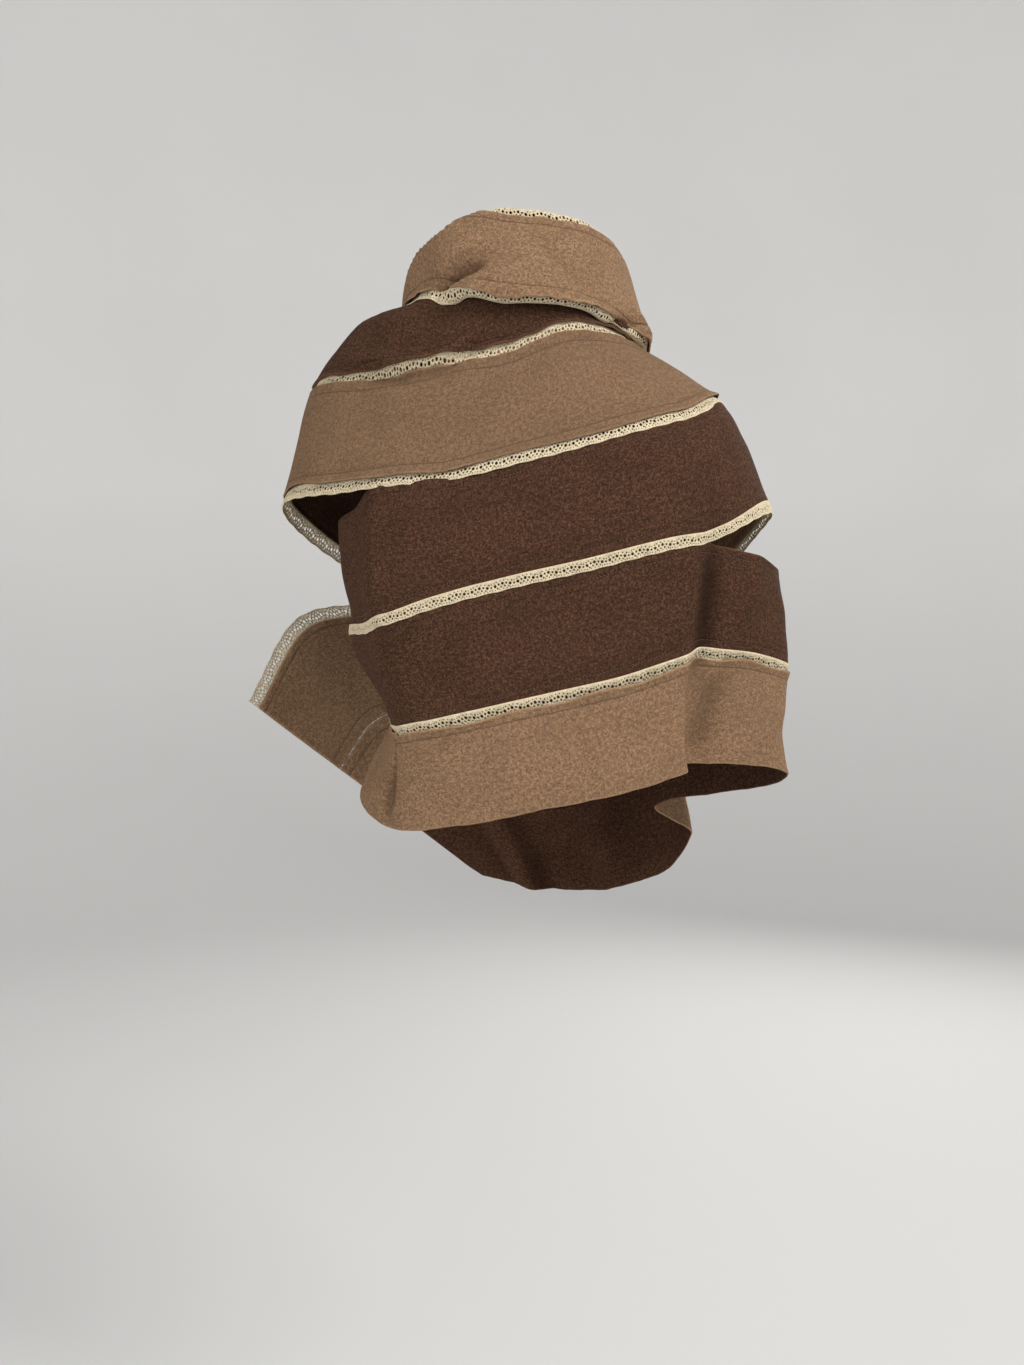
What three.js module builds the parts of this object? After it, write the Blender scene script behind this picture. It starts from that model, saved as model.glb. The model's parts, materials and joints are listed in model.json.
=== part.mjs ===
// A wrap cape of wide felt strips joined by narrow lace, in the form it takes when worn.
//
// Millimetres and degrees. +Z is up and +Y is the way the wearer faces, so +X is the wearer's
// right. The origin is the middle of the neck's base, level with the shoulders.
//
// A place on the cloth is given as a turn about the vertical axis (0 at the centre back, 90 at
// the right side, 180 at the front), how far out from that axis it is, and how far up.
//
// The cape has two parts. The yoke is a ring of strips: a cowl round the neck, a shoulder strip
// folded under it and a yoke strip over the shoulders. The wrap hangs from the yoke's lower
// edge: it starts under the left arm, crosses the back, goes round the right arm and ends as a
// loose corner at the front left.

import * as THREE from "three";

// Cloth and seams.
const FELT = 2.2;
const LACE = 1.2;
const SEAM_GAP = 0.3;
// A wider gap where a seam bends tightly or two strips divide their curves differently.
const CURVED_SEAM_GAP = 1.1;
const LACE_WIDTH = 9;
const YOKE_LACE_WIDTH = 10;
const FREE_LACE_WIDTH = 12;

// Widths of the strips that are even all along. The others run from seam to seam, or have their
// widths in the table of the wrap's strips.
const NECK_STRIP_WIDTH = 30;
const MIDDLE_STRIP_WIDTH = 88;

// How the walls are divided: columns along them, and steps across each. The cowl strip has its
// own steps inside and outside its crest.
const WALL_STEPS = {
  neck_strip: 2, lace_neck: 3, lace_cowl: 2, shoulder_strip: 8, lace_shoulder: 1, yoke_strip: 4,
  lace_yoke: 1, upper_strip: 4, lace_slit: 1, middle_strip: 3, lace_hem: 1, hem_strip: 4,
  lace_front_edge: 1,
};
const COWL_STEPS_INSIDE = 3;
const COWL_STEPS_OUTSIDE = 6;
const YOKE_COLUMNS = 36;
const COLUMNS_PER_STATION = 2.5;
const NORMAL_TURN = 0.5;
const NORMAL_LENGTH = 1.5;
const NORMAL_STATION = 0.04;
const NORMAL_FRACTION = 0.01;

const FULL_TURN = 360;

// The yoke, a row for each section round the neck. Each pair is [out, up].
// crest: the top fold of the cowl. turnedIn: how much of the cowl strip goes over the crest and
// down inside. cowl: the cowl strip's lower edge. tuck: the fold of the shoulder strip, inside
// the cowl at the back and right, a plain roll at the left. shoulder: that strip's lower edge.
// hem: the yoke strip's lower edge. lean, fall: how far the lace under the cowl and the lace
// under the hem slope outward from straight down; a negative lean slopes inward.
const YOKE_SECTIONS = [
  {
    turn: 0, crest: [84, 83], turnedIn: -8, cowl: [105, -3], tuck: [84, 14], shoulder: [97, -42],
    hem: [113, -139], lean: -60, fall: 5,
  },
  {
    turn: 30, crest: [89, 77], turnedIn: -8, cowl: [115, -7], tuck: [92, 12], shoulder: [105, -22],
    hem: [128, -122], lean: -60, fall: 7,
  },
  {
    turn: 60, crest: [96, 70], turnedIn: -3, cowl: [117, -17], tuck: [94, 2], shoulder: [107, -24],
    hem: [170, -97], lean: -60, fall: 22,
  },
  {
    turn: 90, crest: [104, 54], turnedIn: 4, cowl: [130, -25], tuck: [104, -6], shoulder: [114, -32],
    hem: [192, -74], lean: -60, fall: 27,
  },
  {
    turn: 118, crest: [106, 33], turnedIn: 10, cowl: [130, -42], tuck: [110, -26], shoulder: [124, -62],
    hem: [186, -128], lean: -40, fall: 15,
  },
  {
    turn: 144, crest: [104, 20], turnedIn: 16, cowl: [129, -60], tuck: [118, -72], shoulder: [134, -118],
    hem: [170, -212], lean: -15, fall: 8,
  },
  {
    turn: 180, crest: [100, 15], turnedIn: 22, cowl: [124, -66], tuck: [128, -112], shoulder: [134, -160],
    hem: [156, -262], lean: 5, fall: 5,
  },
  {
    turn: 210, crest: [97, 20], turnedIn: 30, cowl: [118, -56], tuck: [132, -102], shoulder: [142, -152],
    hem: [162, -254], lean: 15, fall: 6,
  },
  {
    turn: 240, crest: [94, 28], turnedIn: 40, cowl: [106, -28], tuck: [138, -62], shoulder: [163, -112],
    hem: [186, -212], lean: 35, fall: 9,
  },
  {
    turn: 270, crest: [95, 32], turnedIn: 44, cowl: [98, -4], tuck: [139, -16], shoulder: [183, -62],
    hem: [205, -164], lean: 60, fall: 8,
  },
  {
    turn: 300, crest: [93, 56], turnedIn: 26, cowl: [92, 9], tuck: [118, -8], shoulder: [136, -60],
    hem: [162, -158], lean: 20, fall: 10,
  },
  {
    turn: 318, crest: [91, 66], turnedIn: 12, cowl: [95, 10], tuck: [104, -22], shoulder: [119, -57],
    hem: [141, -154], lean: 0, fall: 8,
  },
  {
    turn: 335, crest: [87, 77], turnedIn: 4, cowl: [101, 6], tuck: [89, -4], shoulder: [105, -50],
    hem: [124, -151], lean: -45, fall: 7,
  },
];

// The wrap, a row for each station along it. Each place is [turn, out, up].
// top: the upper strip's top edge, or only its turn where the yoke carries it. hem: the lower
// edge of the hem strip. slit: how far the slit for the right arm stands open.
const WRAP_STATIONS = [
  { top: [-140, 132, -222], hem: [-112, 118, -415], slit: 0 },
  { top: [-112, 146, -208], hem: [-87, 136, -430], slit: 0 },
  { top: [-85, 156, -190], hem: [-62, 142, -450], slit: 0 },
  { top: [-64, 147, -180], hem: [-43, 139, -460], slit: 0 },
  { top: [-48], hem: [-22, 127, -455], slit: 0 },
  { top: [-22], hem: [4, 124, -444], slit: 0 },
  { top: [5], hem: [28, 138, -433], slit: 0 },
  { top: [28], hem: [45, 158, -424], slit: 0 },
  { top: [44], hem: [56, 170, -416], slit: 0 },
  { top: [57], hem: [66, 190, -408], slit: 0 },
  { top: [69], hem: [76, 226, -408], slit: 26 },
  { top: [81], hem: [86, 256, -420], slit: 54 },
  { top: [93], hem: [96, 249, -436], slit: 48 },
  { top: [105], hem: [104, 222, -446], slit: 12 },
  { top: [116], hem: [110, 195, -458], slit: 0 },
  { top: [128], hem: [117, 205, -492], slit: 0 },
  { top: [141], hem: [126, 205, -530], slit: 0 },
  { top: [156], hem: [136, 195, -550], slit: 0 },
  { top: [172], hem: [147, 182, -560], slit: 0 },
  { top: [188], hem: [158, 172, -562], slit: 0 },
  { top: [208, 174, -276], hem: [167, 166, -560], slit: 0 },
  { top: [228, 196, -274], hem: [176, 164, -556], slit: 0 },
  { top: [245, 226, -290], hem: [183, 164, -552], slit: 0 },
  { top: [253, 258, -366], hem: [190, 168, -548], slit: 0 },
];

// The widths of the strips above and below the middle one, a row for each place along the wrap.
const WRAP_STRIP_WIDTHS = [
  { station: 0, upper: 108, hem: 88 },
  { station: 2, upper: 109, hem: 87 },
  { station: 3, upper: 109, hem: 86 },
  { station: 4, upper: 115, hem: 86 },
  { station: 4.7, upper: 96, hem: 82 },
  { station: 5.3, upper: 89, hem: 81 },
  { station: 7, upper: 89, hem: 83 },
  { station: 8.3, upper: 92, hem: 87 },
  { station: 9.2, upper: 100, hem: 92 },
  { station: 10.5, upper: 101, hem: 95 },
  { station: 12, upper: 102, hem: 98 },
  { station: 23, upper: 102, hem: 98 },
];

// The stations between which the yoke carries the wrap, and where its free lace edging starts.
const FIRST_JOINED_STATION = 4;
const LAST_JOINED_STATION = 19;
const FRONT_EDGE_LACE_START = 19.6;

// The folds in the wrap, a row for each. station: where its valley lies. before, after: how far
// the cloth takes to come back out, in stations. depth: how deep it is where it is deepest.
// from, deepest: the shares of the strips' width, down from the top, where it begins and is
// deepest. left: the share of the depth that is left at the hem. A swell has a negative depth.
const WRAP_FOLDS = [
  {
    name: "gather under the left arm", station: 1.6, before: 2.2, after: 2.2,
    depth: 34, from: 0.38, deepest: 0.7, left: 0.1,
  },
  {
    name: "pleat behind the right arm", station: 9.1, before: 0.7, after: 1.6,
    depth: 30, from: 0.62, deepest: 1, left: 1,
  },
  {
    name: "swell over the right arm", station: 11.6, before: 2, after: 1.8,
    depth: -8, from: 0.3, deepest: 0.66, left: 0.1,
  },
  {
    name: "fold before the right arm", station: 14.1, before: 1.5, after: 1.0,
    depth: 42, from: 0.35, deepest: 1, left: 1,
  },
  {
    name: "first drape at the front", station: 17.4, before: 0.9, after: 0.9,
    depth: 22, from: 0.45, deepest: 1, left: 1,
  },
  {
    name: "second drape at the front", station: 20.4, before: 0.9, after: 0.9,
    depth: 20, from: 0.5, deepest: 1, left: 1,
  },
];

const CAMEL = new THREE.MeshStandardMaterial({ color: 0xa58769, roughness: 0.95, metalness: 0 });
const BROWN = new THREE.MeshStandardMaterial({ color: 0x5a4137, roughness: 0.95, metalness: 0 });
const COTTON = new THREE.MeshStandardMaterial({ color: 0xe1cda5, roughness: 0.9, metalness: 0 });

// A smooth curve through values at uneven places, with the slope at each from its neighbours.
function curveThrough(places, values, period = 0) {
  const count = places.length;
  const placeAt = (i) => (period ? places[(i + count) % count] + period * Math.floor(i / count) : places[i]);
  const valueAt = (i) => values[period ? (i + count) % count : i];
  const slopeAt = (i) => {
    const before = period ? i - 1 : Math.max(i - 1, 0);
    const after = period ? i + 1 : Math.min(i + 1, count - 1);
    return (valueAt(after) - valueAt(before)) / (placeAt(after) - placeAt(before));
  };
  return (place) => {
    const at = period ? place - period * Math.floor((place - places[0]) / period) : place;
    let i = 0;
    const last = period ? count - 1 : count - 2;
    while (i < last && at > placeAt(i + 1)) i += 1;
    const span = placeAt(i + 1) - placeAt(i);
    const t = (at - placeAt(i)) / span;
    if (!period && (t < 0 || t > 1)) {
      const end = t < 0 ? i : i + 1;
      return valueAt(end) + slopeAt(end) * (at - placeAt(end));
    }
    const t2 = t * t;
    const t3 = t2 * t;
    return (2 * t3 - 3 * t2 + 1) * valueAt(i) + (t3 - 2 * t2 + t) * span * slopeAt(i)
      + (3 * t2 - 2 * t3) * valueAt(i + 1) + (t3 - t2) * span * slopeAt(i + 1);
  };
}

const radians = THREE.MathUtils.degToRad;

function place(turn, out, up) {
  return new THREE.Vector3(out * Math.sin(radians(turn)), -out * Math.cos(radians(turn)), up);
}

// The yoke's surface.

const yokeTurns = YOKE_SECTIONS.map((section) => section.turn);
const aroundYoke = (read) => curveThrough(yokeTurns, YOKE_SECTIONS.map(read), FULL_TURN);
const YOKE_POINTS = ["crest", "cowl", "tuck", "shoulder", "hem"];
const yokeCurves = YOKE_POINTS.map((name) => [aroundYoke((s) => s[name][0]), aroundYoke((s) => s[name][1])]);
const turnedInAt = aroundYoke((s) => s.turnedIn);
const leanAt = aroundYoke((s) => s.lean);
const fallAt = aroundYoke((s) => s.fall);

// How far the neck strip leans in from the crest, what the rib has to spare below it, and the
// least length of cowl strip on the inner side of its line of crest points.
const INNER_LEAN = 16;
const INNER_SPARE = 6;
const CREST_CLEARANCE = 9;
const COWL_LACE_REACH = SEAM_GAP + LACE_WIDTH + SEAM_GAP;
const YOKE_LACE_REACH = SEAM_GAP + YOKE_LACE_WIDTH + SEAM_GAP;

// How far from each named point of a rib its rounded corner begins.
const CORNER_CUTS = { crest: 18, cowl: 14, under: 7, tuck: 13, shoulder: 40, hem: 25 };
const LONGEST_CUT = 0.48;
const CORNER_STEPS = 8;

// Straight legs from knot to knot with the corners rounded, as closely spaced points. cuts says
// how far from each inner knot its corner begins; middles gives the index of each corner's middle.
function roundedPath(knots, cuts) {
  const points = [knots[0]];
  const middles = [];
  const between = (a, b, t) => [a[0] + t * (b[0] - a[0]), a[1] + t * (b[1] - a[1])];
  for (let i = 1; i < knots.length - 1; i += 1) {
    const [before, knot, after] = [knots[i - 1], knots[i], knots[i + 1]];
    const legIn = Math.hypot(knot[0] - before[0], knot[1] - before[1]);
    const legOut = Math.hypot(after[0] - knot[0], after[1] - knot[1]);
    const cut = Math.min(cuts[i - 1], LONGEST_CUT * legIn, LONGEST_CUT * legOut);
    const enter = between(knot, before, cut / legIn);
    const leave = between(knot, after, cut / legOut);
    for (let k = 0; k <= CORNER_STEPS; k += 1) {
      const t = k / CORNER_STEPS;
      points.push(between(between(enter, knot, t), between(knot, leave, t), t));
      if (k === CORNER_STEPS / 2) middles.push(points.length - 1);
    }
  }
  points.push(knots[knots.length - 1]);
  return { points, middles };
}

// One rib of the yoke, from inside the neck over the crest and down to the wrap's top edge, as
// [out, up] points with their lengths along it, and the length at each named point.
const ribs = new Map();
function yokeRib(turn) {
  const key = turn.toFixed(4);
  if (ribs.has(key)) return ribs.get(key);
  const [crest, cowl, tuck, shoulder, hem] = yokeCurves.map(([out, up]) => [out(turn), up(turn)]);
  const sloping = ([out, up], length, slope) => [
    out + length * Math.sin(radians(slope)),
    up - length * Math.cos(radians(slope)),
  ];
  const innerReach = Math.max(turnedInAt(turn), 0) + LACE_WIDTH + NECK_STRIP_WIDTH + INNER_SPARE;
  const inner = [crest[0] - INNER_LEAN, crest[1] - innerReach];
  const under = sloping(cowl, COWL_LACE_REACH, leanAt(turn));
  const end = sloping(hem, YOKE_LACE_REACH, fallAt(turn));
  const knots = [inner, crest, cowl, under, tuck, shoulder, hem, end];
  const { points, middles } = roundedPath(knots, Object.values(CORNER_CUTS));
  const lengths = [0];
  for (let i = 1; i < points.length; i += 1) {
    const step = Math.hypot(points[i][0] - points[i - 1][0], points[i][1] - points[i - 1][1]);
    lengths.push(lengths[i - 1] + step);
  }
  const at = {};
  Object.keys(CORNER_CUTS).forEach((name, i) => {
    at[name] = lengths[middles[i]];
  });
  at.top = at.crest - turnedInAt(turn);
  at.end = lengths[lengths.length - 1];
  const rib = { points, lengths, at };
  ribs.set(key, rib);
  return rib;
}

function yokePoint(turn, length) {
  const { points, lengths } = yokeRib(turn);
  let i = 0;
  while (i < lengths.length - 2 && length > lengths[i + 1]) i += 1;
  const t = (length - lengths[i]) / (lengths[i + 1] - lengths[i]);
  const out = points[i][0] + t * (points[i + 1][0] - points[i][0]);
  const up = points[i][1] + t * (points[i + 1][1] - points[i][1]);
  return place(turn, out, up);
}

// A place on a surface with the direction that faces outward there.
function facing(along, across, point) {
  const normal = new THREE.Vector3().crossVectors(across, along).normalize();
  return { point, normal };
}

function yokePlace(turn, length) {
  const along = yokePoint(turn + NORMAL_TURN, length).sub(yokePoint(turn - NORMAL_TURN, length));
  const across = yokePoint(turn, length + NORMAL_LENGTH).sub(yokePoint(turn, length - NORMAL_LENGTH));
  return facing(along, across, yokePoint(turn, length));
}

// The wrap's surface.

const stations = WRAP_STATIONS.map((row, index) => index);
const isJoined = (station) => station >= FIRST_JOINED_STATION && station <= LAST_JOINED_STATION;

function yokeEdge(turn) {
  const { points } = yokeRib(turn);
  return [turn, ...points[points.length - 1]];
}

const topRows = WRAP_STATIONS.map((row) => (row.top.length > 1 ? row.top : yokeEdge(row.top[0])));
const topCurves = [0, 1, 2].map((axis) => curveThrough(stations, topRows.map((row) => row[axis])));
const hemCurves = [0, 1, 2].map((axis) => curveThrough(stations, WRAP_STATIONS.map((row) => row.hem[axis])));
const slitCurve = curveThrough(stations, WRAP_STATIONS.map((row) => row.slit));
const widthStations = WRAP_STRIP_WIDTHS.map((row) => row.station);
const upperWidthAt = curveThrough(widthStations, WRAP_STRIP_WIDTHS.map((row) => row.upper));
const hemWidthAt = curveThrough(widthStations, WRAP_STRIP_WIDTHS.map((row) => row.hem));
const slitAt = (station) => Math.max(slitCurve(station), 0);

// How strongly the cloth keeps the yoke's slope before it turns to hang, and how many stations
// past the join that takes to fade.
const LEAVE_STRENGTH = 1.6;
const JOIN_FADE = 1.5;

// How fully the cloth still follows the yoke's slope at its top edge, fading past the join.
function joinedShare(station) {
  const before = FIRST_JOINED_STATION - station;
  const after = station - LAST_JOINED_STATION;
  return THREE.MathUtils.clamp(1 - Math.max(before, after, 0) / JOIN_FADE, 0, 1);
}

function foldDepth(station, share) {
  let depth = 0;
  for (const fold of WRAP_FOLDS) {
    const away = station - fold.station;
    const reach = away < 0 ? fold.before : fold.after;
    if (Math.abs(away) >= reach || share <= fold.from) continue;
    const across = 0.5 + 0.5 * Math.cos(Math.PI * away / reach);
    const down = share < fold.deepest
      ? THREE.MathUtils.smoothstep(share, fold.from, fold.deepest)
      : 1 - (1 - fold.left) * THREE.MathUtils.smoothstep(share, fold.deepest, 1);
    depth += fold.depth * across * down;
  }
  return depth;
}

// A point on the wrap: share is 0 at the top edge and 1 at the hem.
function wrapPoint(station, share) {
  const topPlace = topCurves.map((curve) => curve(station));
  const [turn] = topPlace;
  const top = isJoined(station) ? place(...yokeEdge(turn)) : place(...topPlace);
  const hem = place(...hemCurves.map((curve) => curve(station)));
  const chord = hem.clone().sub(top);
  const size = chord.length();
  const fall = radians(fallAt(turn));
  const leave = place(turn, Math.sin(fall), -Math.cos(fall));
  const start = chord.clone().normalize().lerp(leave, joinedShare(station)).normalize();
  const bow = LEAVE_STRENGTH * size * share * (1 - share) ** 2;
  const point = top.clone().addScaledVector(chord, share);
  const straight = chord.clone().normalize();
  point.addScaledVector(start.sub(straight), bow);
  const inward = new THREE.Vector3(-point.x, -point.y, 0).normalize();
  return point.addScaledVector(inward, foldDepth(station, share));
}

function wrapPlace(station, share) {
  const along = wrapPoint(station + NORMAL_STATION, share).sub(wrapPoint(station - NORMAL_STATION, share));
  const across = wrapPoint(station, share + NORMAL_FRACTION).sub(wrapPoint(station, share - NORMAL_FRACTION));
  return facing(along, across, wrapPoint(station, share));
}

// The widths from the wrap's top edge down to each of its seams, as shares of the whole.
function wrapSeams(station) {
  const slit = slitAt(station);
  const upper = upperWidthAt(station);
  const middle = upper + SEAM_GAP + LACE_WIDTH + SEAM_GAP + slit;
  const hem = middle + MIDDLE_STRIP_WIDTH + SEAM_GAP + LACE_WIDTH + SEAM_GAP;
  const whole = hem + hemWidthAt(station);
  return {
    upperEdge: upper / whole,
    slitLaceTop: (upper + SEAM_GAP) / whole,
    slitLaceEdge: (upper + SEAM_GAP + LACE_WIDTH) / whole,
    middleTop: middle / whole,
    middleEdge: (middle + MIDDLE_STRIP_WIDTH) / whole,
    hemLaceTop: (middle + MIDDLE_STRIP_WIDTH + SEAM_GAP) / whole,
    hemLaceEdge: (hem - SEAM_GAP) / whole,
    hemTop: hem / whole,
    millimetre: 1 / whole,
  };
}

// Walls.

// A closed wall about a grid of places, thick to both sides of it. round joins the last column
// to the first.
function wall(name, columns, thickness, material, round) {
  const rows = columns[0].length;
  const positions = [];
  for (const column of columns) {
    for (const { point, normal } of column) {
      for (const side of [1, -1]) {
        positions.push(...point.clone().addScaledVector(normal, side * thickness / 2).toArray());
      }
    }
  }
  const outer = (i, j) => 2 * ((i % columns.length) * rows + j);
  const inner = (i, j) => outer(i, j) + 1;
  const faces = [];
  const quad = (a, b, c, d) => faces.push(a, b, c, a, c, d);
  const spans = round ? columns.length : columns.length - 1;
  const foot = rows - 1;
  for (let i = 0; i < spans; i += 1) {
    for (let j = 0; j < foot; j += 1) {
      quad(outer(i, j), outer(i, j + 1), outer(i + 1, j + 1), outer(i + 1, j));
      quad(inner(i, j), inner(i + 1, j), inner(i + 1, j + 1), inner(i, j + 1));
    }
    quad(outer(i, 0), outer(i + 1, 0), inner(i + 1, 0), inner(i, 0));
    quad(outer(i, foot), inner(i, foot), inner(i + 1, foot), outer(i + 1, foot));
  }
  if (!round) {
    for (let j = 0; j < foot; j += 1) {
      quad(outer(0, j), inner(0, j), inner(0, j + 1), outer(0, j + 1));
      quad(outer(spans, j), outer(spans, j + 1), inner(spans, j + 1), inner(spans, j));
    }
  }
  const geometry = new THREE.BufferGeometry();
  geometry.setAttribute("position", new THREE.Float32BufferAttribute(positions, 3));
  geometry.setIndex(faces);
  geometry.computeVertexNormals();
  const mesh = new THREE.Mesh(geometry, material);
  mesh.name = name;
  return mesh;
}

// A ring of the yoke between two lengths along each rib, in even steps.
function yokeStrip(name, from, to, thickness, material) {
  return yokeRing(name, (at) => evenly(from(at), to(at), WALL_STEPS[name]), thickness, material);
}

function evenly(from, to, steps) {
  return Array.from({ length: steps + 1 }, (_, j) => THREE.MathUtils.lerp(from, to, j / steps));
}

function yokeRing(name, lengthsAt, thickness, material) {
  const columns = [];
  for (let i = 0; i < YOKE_COLUMNS; i += 1) {
    const turn = (i * FULL_TURN) / YOKE_COLUMNS;
    columns.push(lengthsAt(yokeRib(turn).at).map((length) => yokePlace(turn, length)));
  }
  return wall(name, columns, thickness, material, true);
}

// A strip of the wrap between two shares of each rib.
function wrapStrip(name, from, to, thickness, material, firstStation = 0) {
  const lastStation = WRAP_STATIONS.length - 1;
  const spans = Math.round((lastStation - firstStation) * COLUMNS_PER_STATION);
  const steps = WALL_STEPS[name];
  const columns = [];
  for (let i = 0; i <= spans; i += 1) {
    const station = firstStation + (i * (lastStation - firstStation)) / spans;
    const seams = wrapSeams(station);
    const column = [];
    for (let j = 0; j <= steps; j += 1) {
      column.push(wrapPlace(station, THREE.MathUtils.lerp(from(seams), to(seams), j / steps)));
    }
    columns.push(column);
  }
  return wall(name, columns, thickness, material, false);
}

// The cowl strip has a line of points along its crest, so that the fold there stays even.
function cowlLengths(at) {
  const bend = Math.max(at.crest, at.top + CREST_CLEARANCE);
  return [
    ...evenly(at.top, bend, COWL_STEPS_INSIDE),
    ...evenly(bend, at.cowl, COWL_STEPS_OUTSIDE).slice(1),
  ];
}

function makeYoke() {
  const neckEdge = (at) => at.top - SEAM_GAP - LACE_WIDTH - SEAM_GAP;
  const laceTop = (at) => at.shoulder + SEAM_GAP;
  const laceEdge = (at) => laceTop(at) + LACE_WIDTH;
  return [
    yokeStrip("neck_strip", (at) => neckEdge(at) - NECK_STRIP_WIDTH, neckEdge, FELT, BROWN),
    yokeStrip("lace_neck", (at) => neckEdge(at) + SEAM_GAP, (at) => at.top - CURVED_SEAM_GAP, LACE, COTTON),
    yokeRing("cowl_strip", cowlLengths, FELT, CAMEL),
    yokeStrip("lace_cowl", (at) => at.cowl + SEAM_GAP, (at) => at.under - CURVED_SEAM_GAP, LACE, COTTON),
    yokeStrip("shoulder_strip", (at) => at.under, (at) => at.shoulder, FELT, BROWN),
    yokeStrip("lace_shoulder", laceTop, laceEdge, LACE, COTTON),
    yokeStrip("yoke_strip", (at) => laceEdge(at) + SEAM_GAP, (at) => at.hem, FELT, CAMEL),
    yokeStrip("lace_yoke", (at) => at.hem + SEAM_GAP, (at) => at.end - SEAM_GAP, LACE, COTTON),
  ];
}

function makeWrap() {
  const upperTop = (seams) => CURVED_SEAM_GAP * seams.millimetre;
  const freeLaceTop = (seams) => -(2 * SEAM_GAP + FREE_LACE_WIDTH) * seams.millimetre;
  const freeLaceEdge = (seams) => -2 * SEAM_GAP * seams.millimetre;
  return [
    wrapStrip("upper_strip", upperTop, (seams) => seams.upperEdge, FELT, BROWN),
    wrapStrip("lace_slit", (seams) => seams.slitLaceTop, (seams) => seams.slitLaceEdge, LACE, COTTON),
    wrapStrip("middle_strip", (seams) => seams.middleTop, (seams) => seams.middleEdge, FELT, BROWN),
    wrapStrip("lace_hem", (seams) => seams.hemLaceTop, (seams) => seams.hemLaceEdge, LACE, COTTON),
    wrapStrip("hem_strip", (seams) => seams.hemTop, () => 1, FELT, CAMEL),
    wrapStrip("lace_front_edge", freeLaceTop, freeLaceEdge, LACE, COTTON, FRONT_EDGE_LACE_START),
  ];
}

const cape = new THREE.Group();
cape.name = "cape";
cape.add(...makeYoke(), ...makeWrap());

export default cape;
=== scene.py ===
"""Builds a wrap cape of wide two-faced felt strips joined by narrow cotton lace, in worn form.

Sizes in the tables are millimetres and degrees, as a maker would note them, and the meshes are
made in metres. +Z is up and +Y is the way the wearer faces, so +X is the wearer's right. A place
on the yoke is a turn about the neck (0 at the centre back, 90 at the right side) and a length
down the rib there. A place on the wrap is a station along it and a distance down from its top
edge. All of them are places on the middle of the cloth.
"""
import json
import math
from collections import namedtuple

import bpy
import numpy as np
from mathutils.geometry import delaunay_2d_cdt
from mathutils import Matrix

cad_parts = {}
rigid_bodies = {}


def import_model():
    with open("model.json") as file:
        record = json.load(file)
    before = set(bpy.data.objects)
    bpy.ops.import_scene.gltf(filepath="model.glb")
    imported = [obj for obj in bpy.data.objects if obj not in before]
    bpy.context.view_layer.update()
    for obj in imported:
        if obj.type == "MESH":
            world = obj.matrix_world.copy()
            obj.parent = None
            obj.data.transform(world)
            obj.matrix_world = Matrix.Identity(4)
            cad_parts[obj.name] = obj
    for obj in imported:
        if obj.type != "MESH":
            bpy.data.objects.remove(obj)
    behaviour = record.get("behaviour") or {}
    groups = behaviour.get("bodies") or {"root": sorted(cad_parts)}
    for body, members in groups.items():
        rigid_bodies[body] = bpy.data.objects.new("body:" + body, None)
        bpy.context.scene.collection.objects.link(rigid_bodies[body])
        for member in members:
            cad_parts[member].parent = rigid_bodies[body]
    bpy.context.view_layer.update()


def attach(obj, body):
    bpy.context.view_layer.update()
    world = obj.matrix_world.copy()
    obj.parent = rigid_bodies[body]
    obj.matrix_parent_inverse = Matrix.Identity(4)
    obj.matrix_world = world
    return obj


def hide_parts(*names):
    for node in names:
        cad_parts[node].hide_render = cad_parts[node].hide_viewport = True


bl_info = {
    "name": "Felt and Lace Wrap Cape",
    "version": (1, 0, 0),
    "blender": (4, 5, 0),
    "location": "3D View > Sidebar > Cape",
    "description": "Cuts, drapes and sews a wrap cape of felt strips and lace insertions",
    "category": "Object",
}

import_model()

MM = 0.001
FULL_TURN = 360.0

# Widths of the cloth and of the gaps at its seams.
FELT = 2.2
SEAM_GAP = 0.3
CURVED_SEAM_GAP = 1.1
LACE_WIDTH = 9.0
YOKE_LACE_WIDTH = 10.0
FREE_LACE_WIDTH = 12.0
NECK_STRIP_WIDTH = 30.0
MIDDLE_STRIP_WIDTH = 88.0

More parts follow.
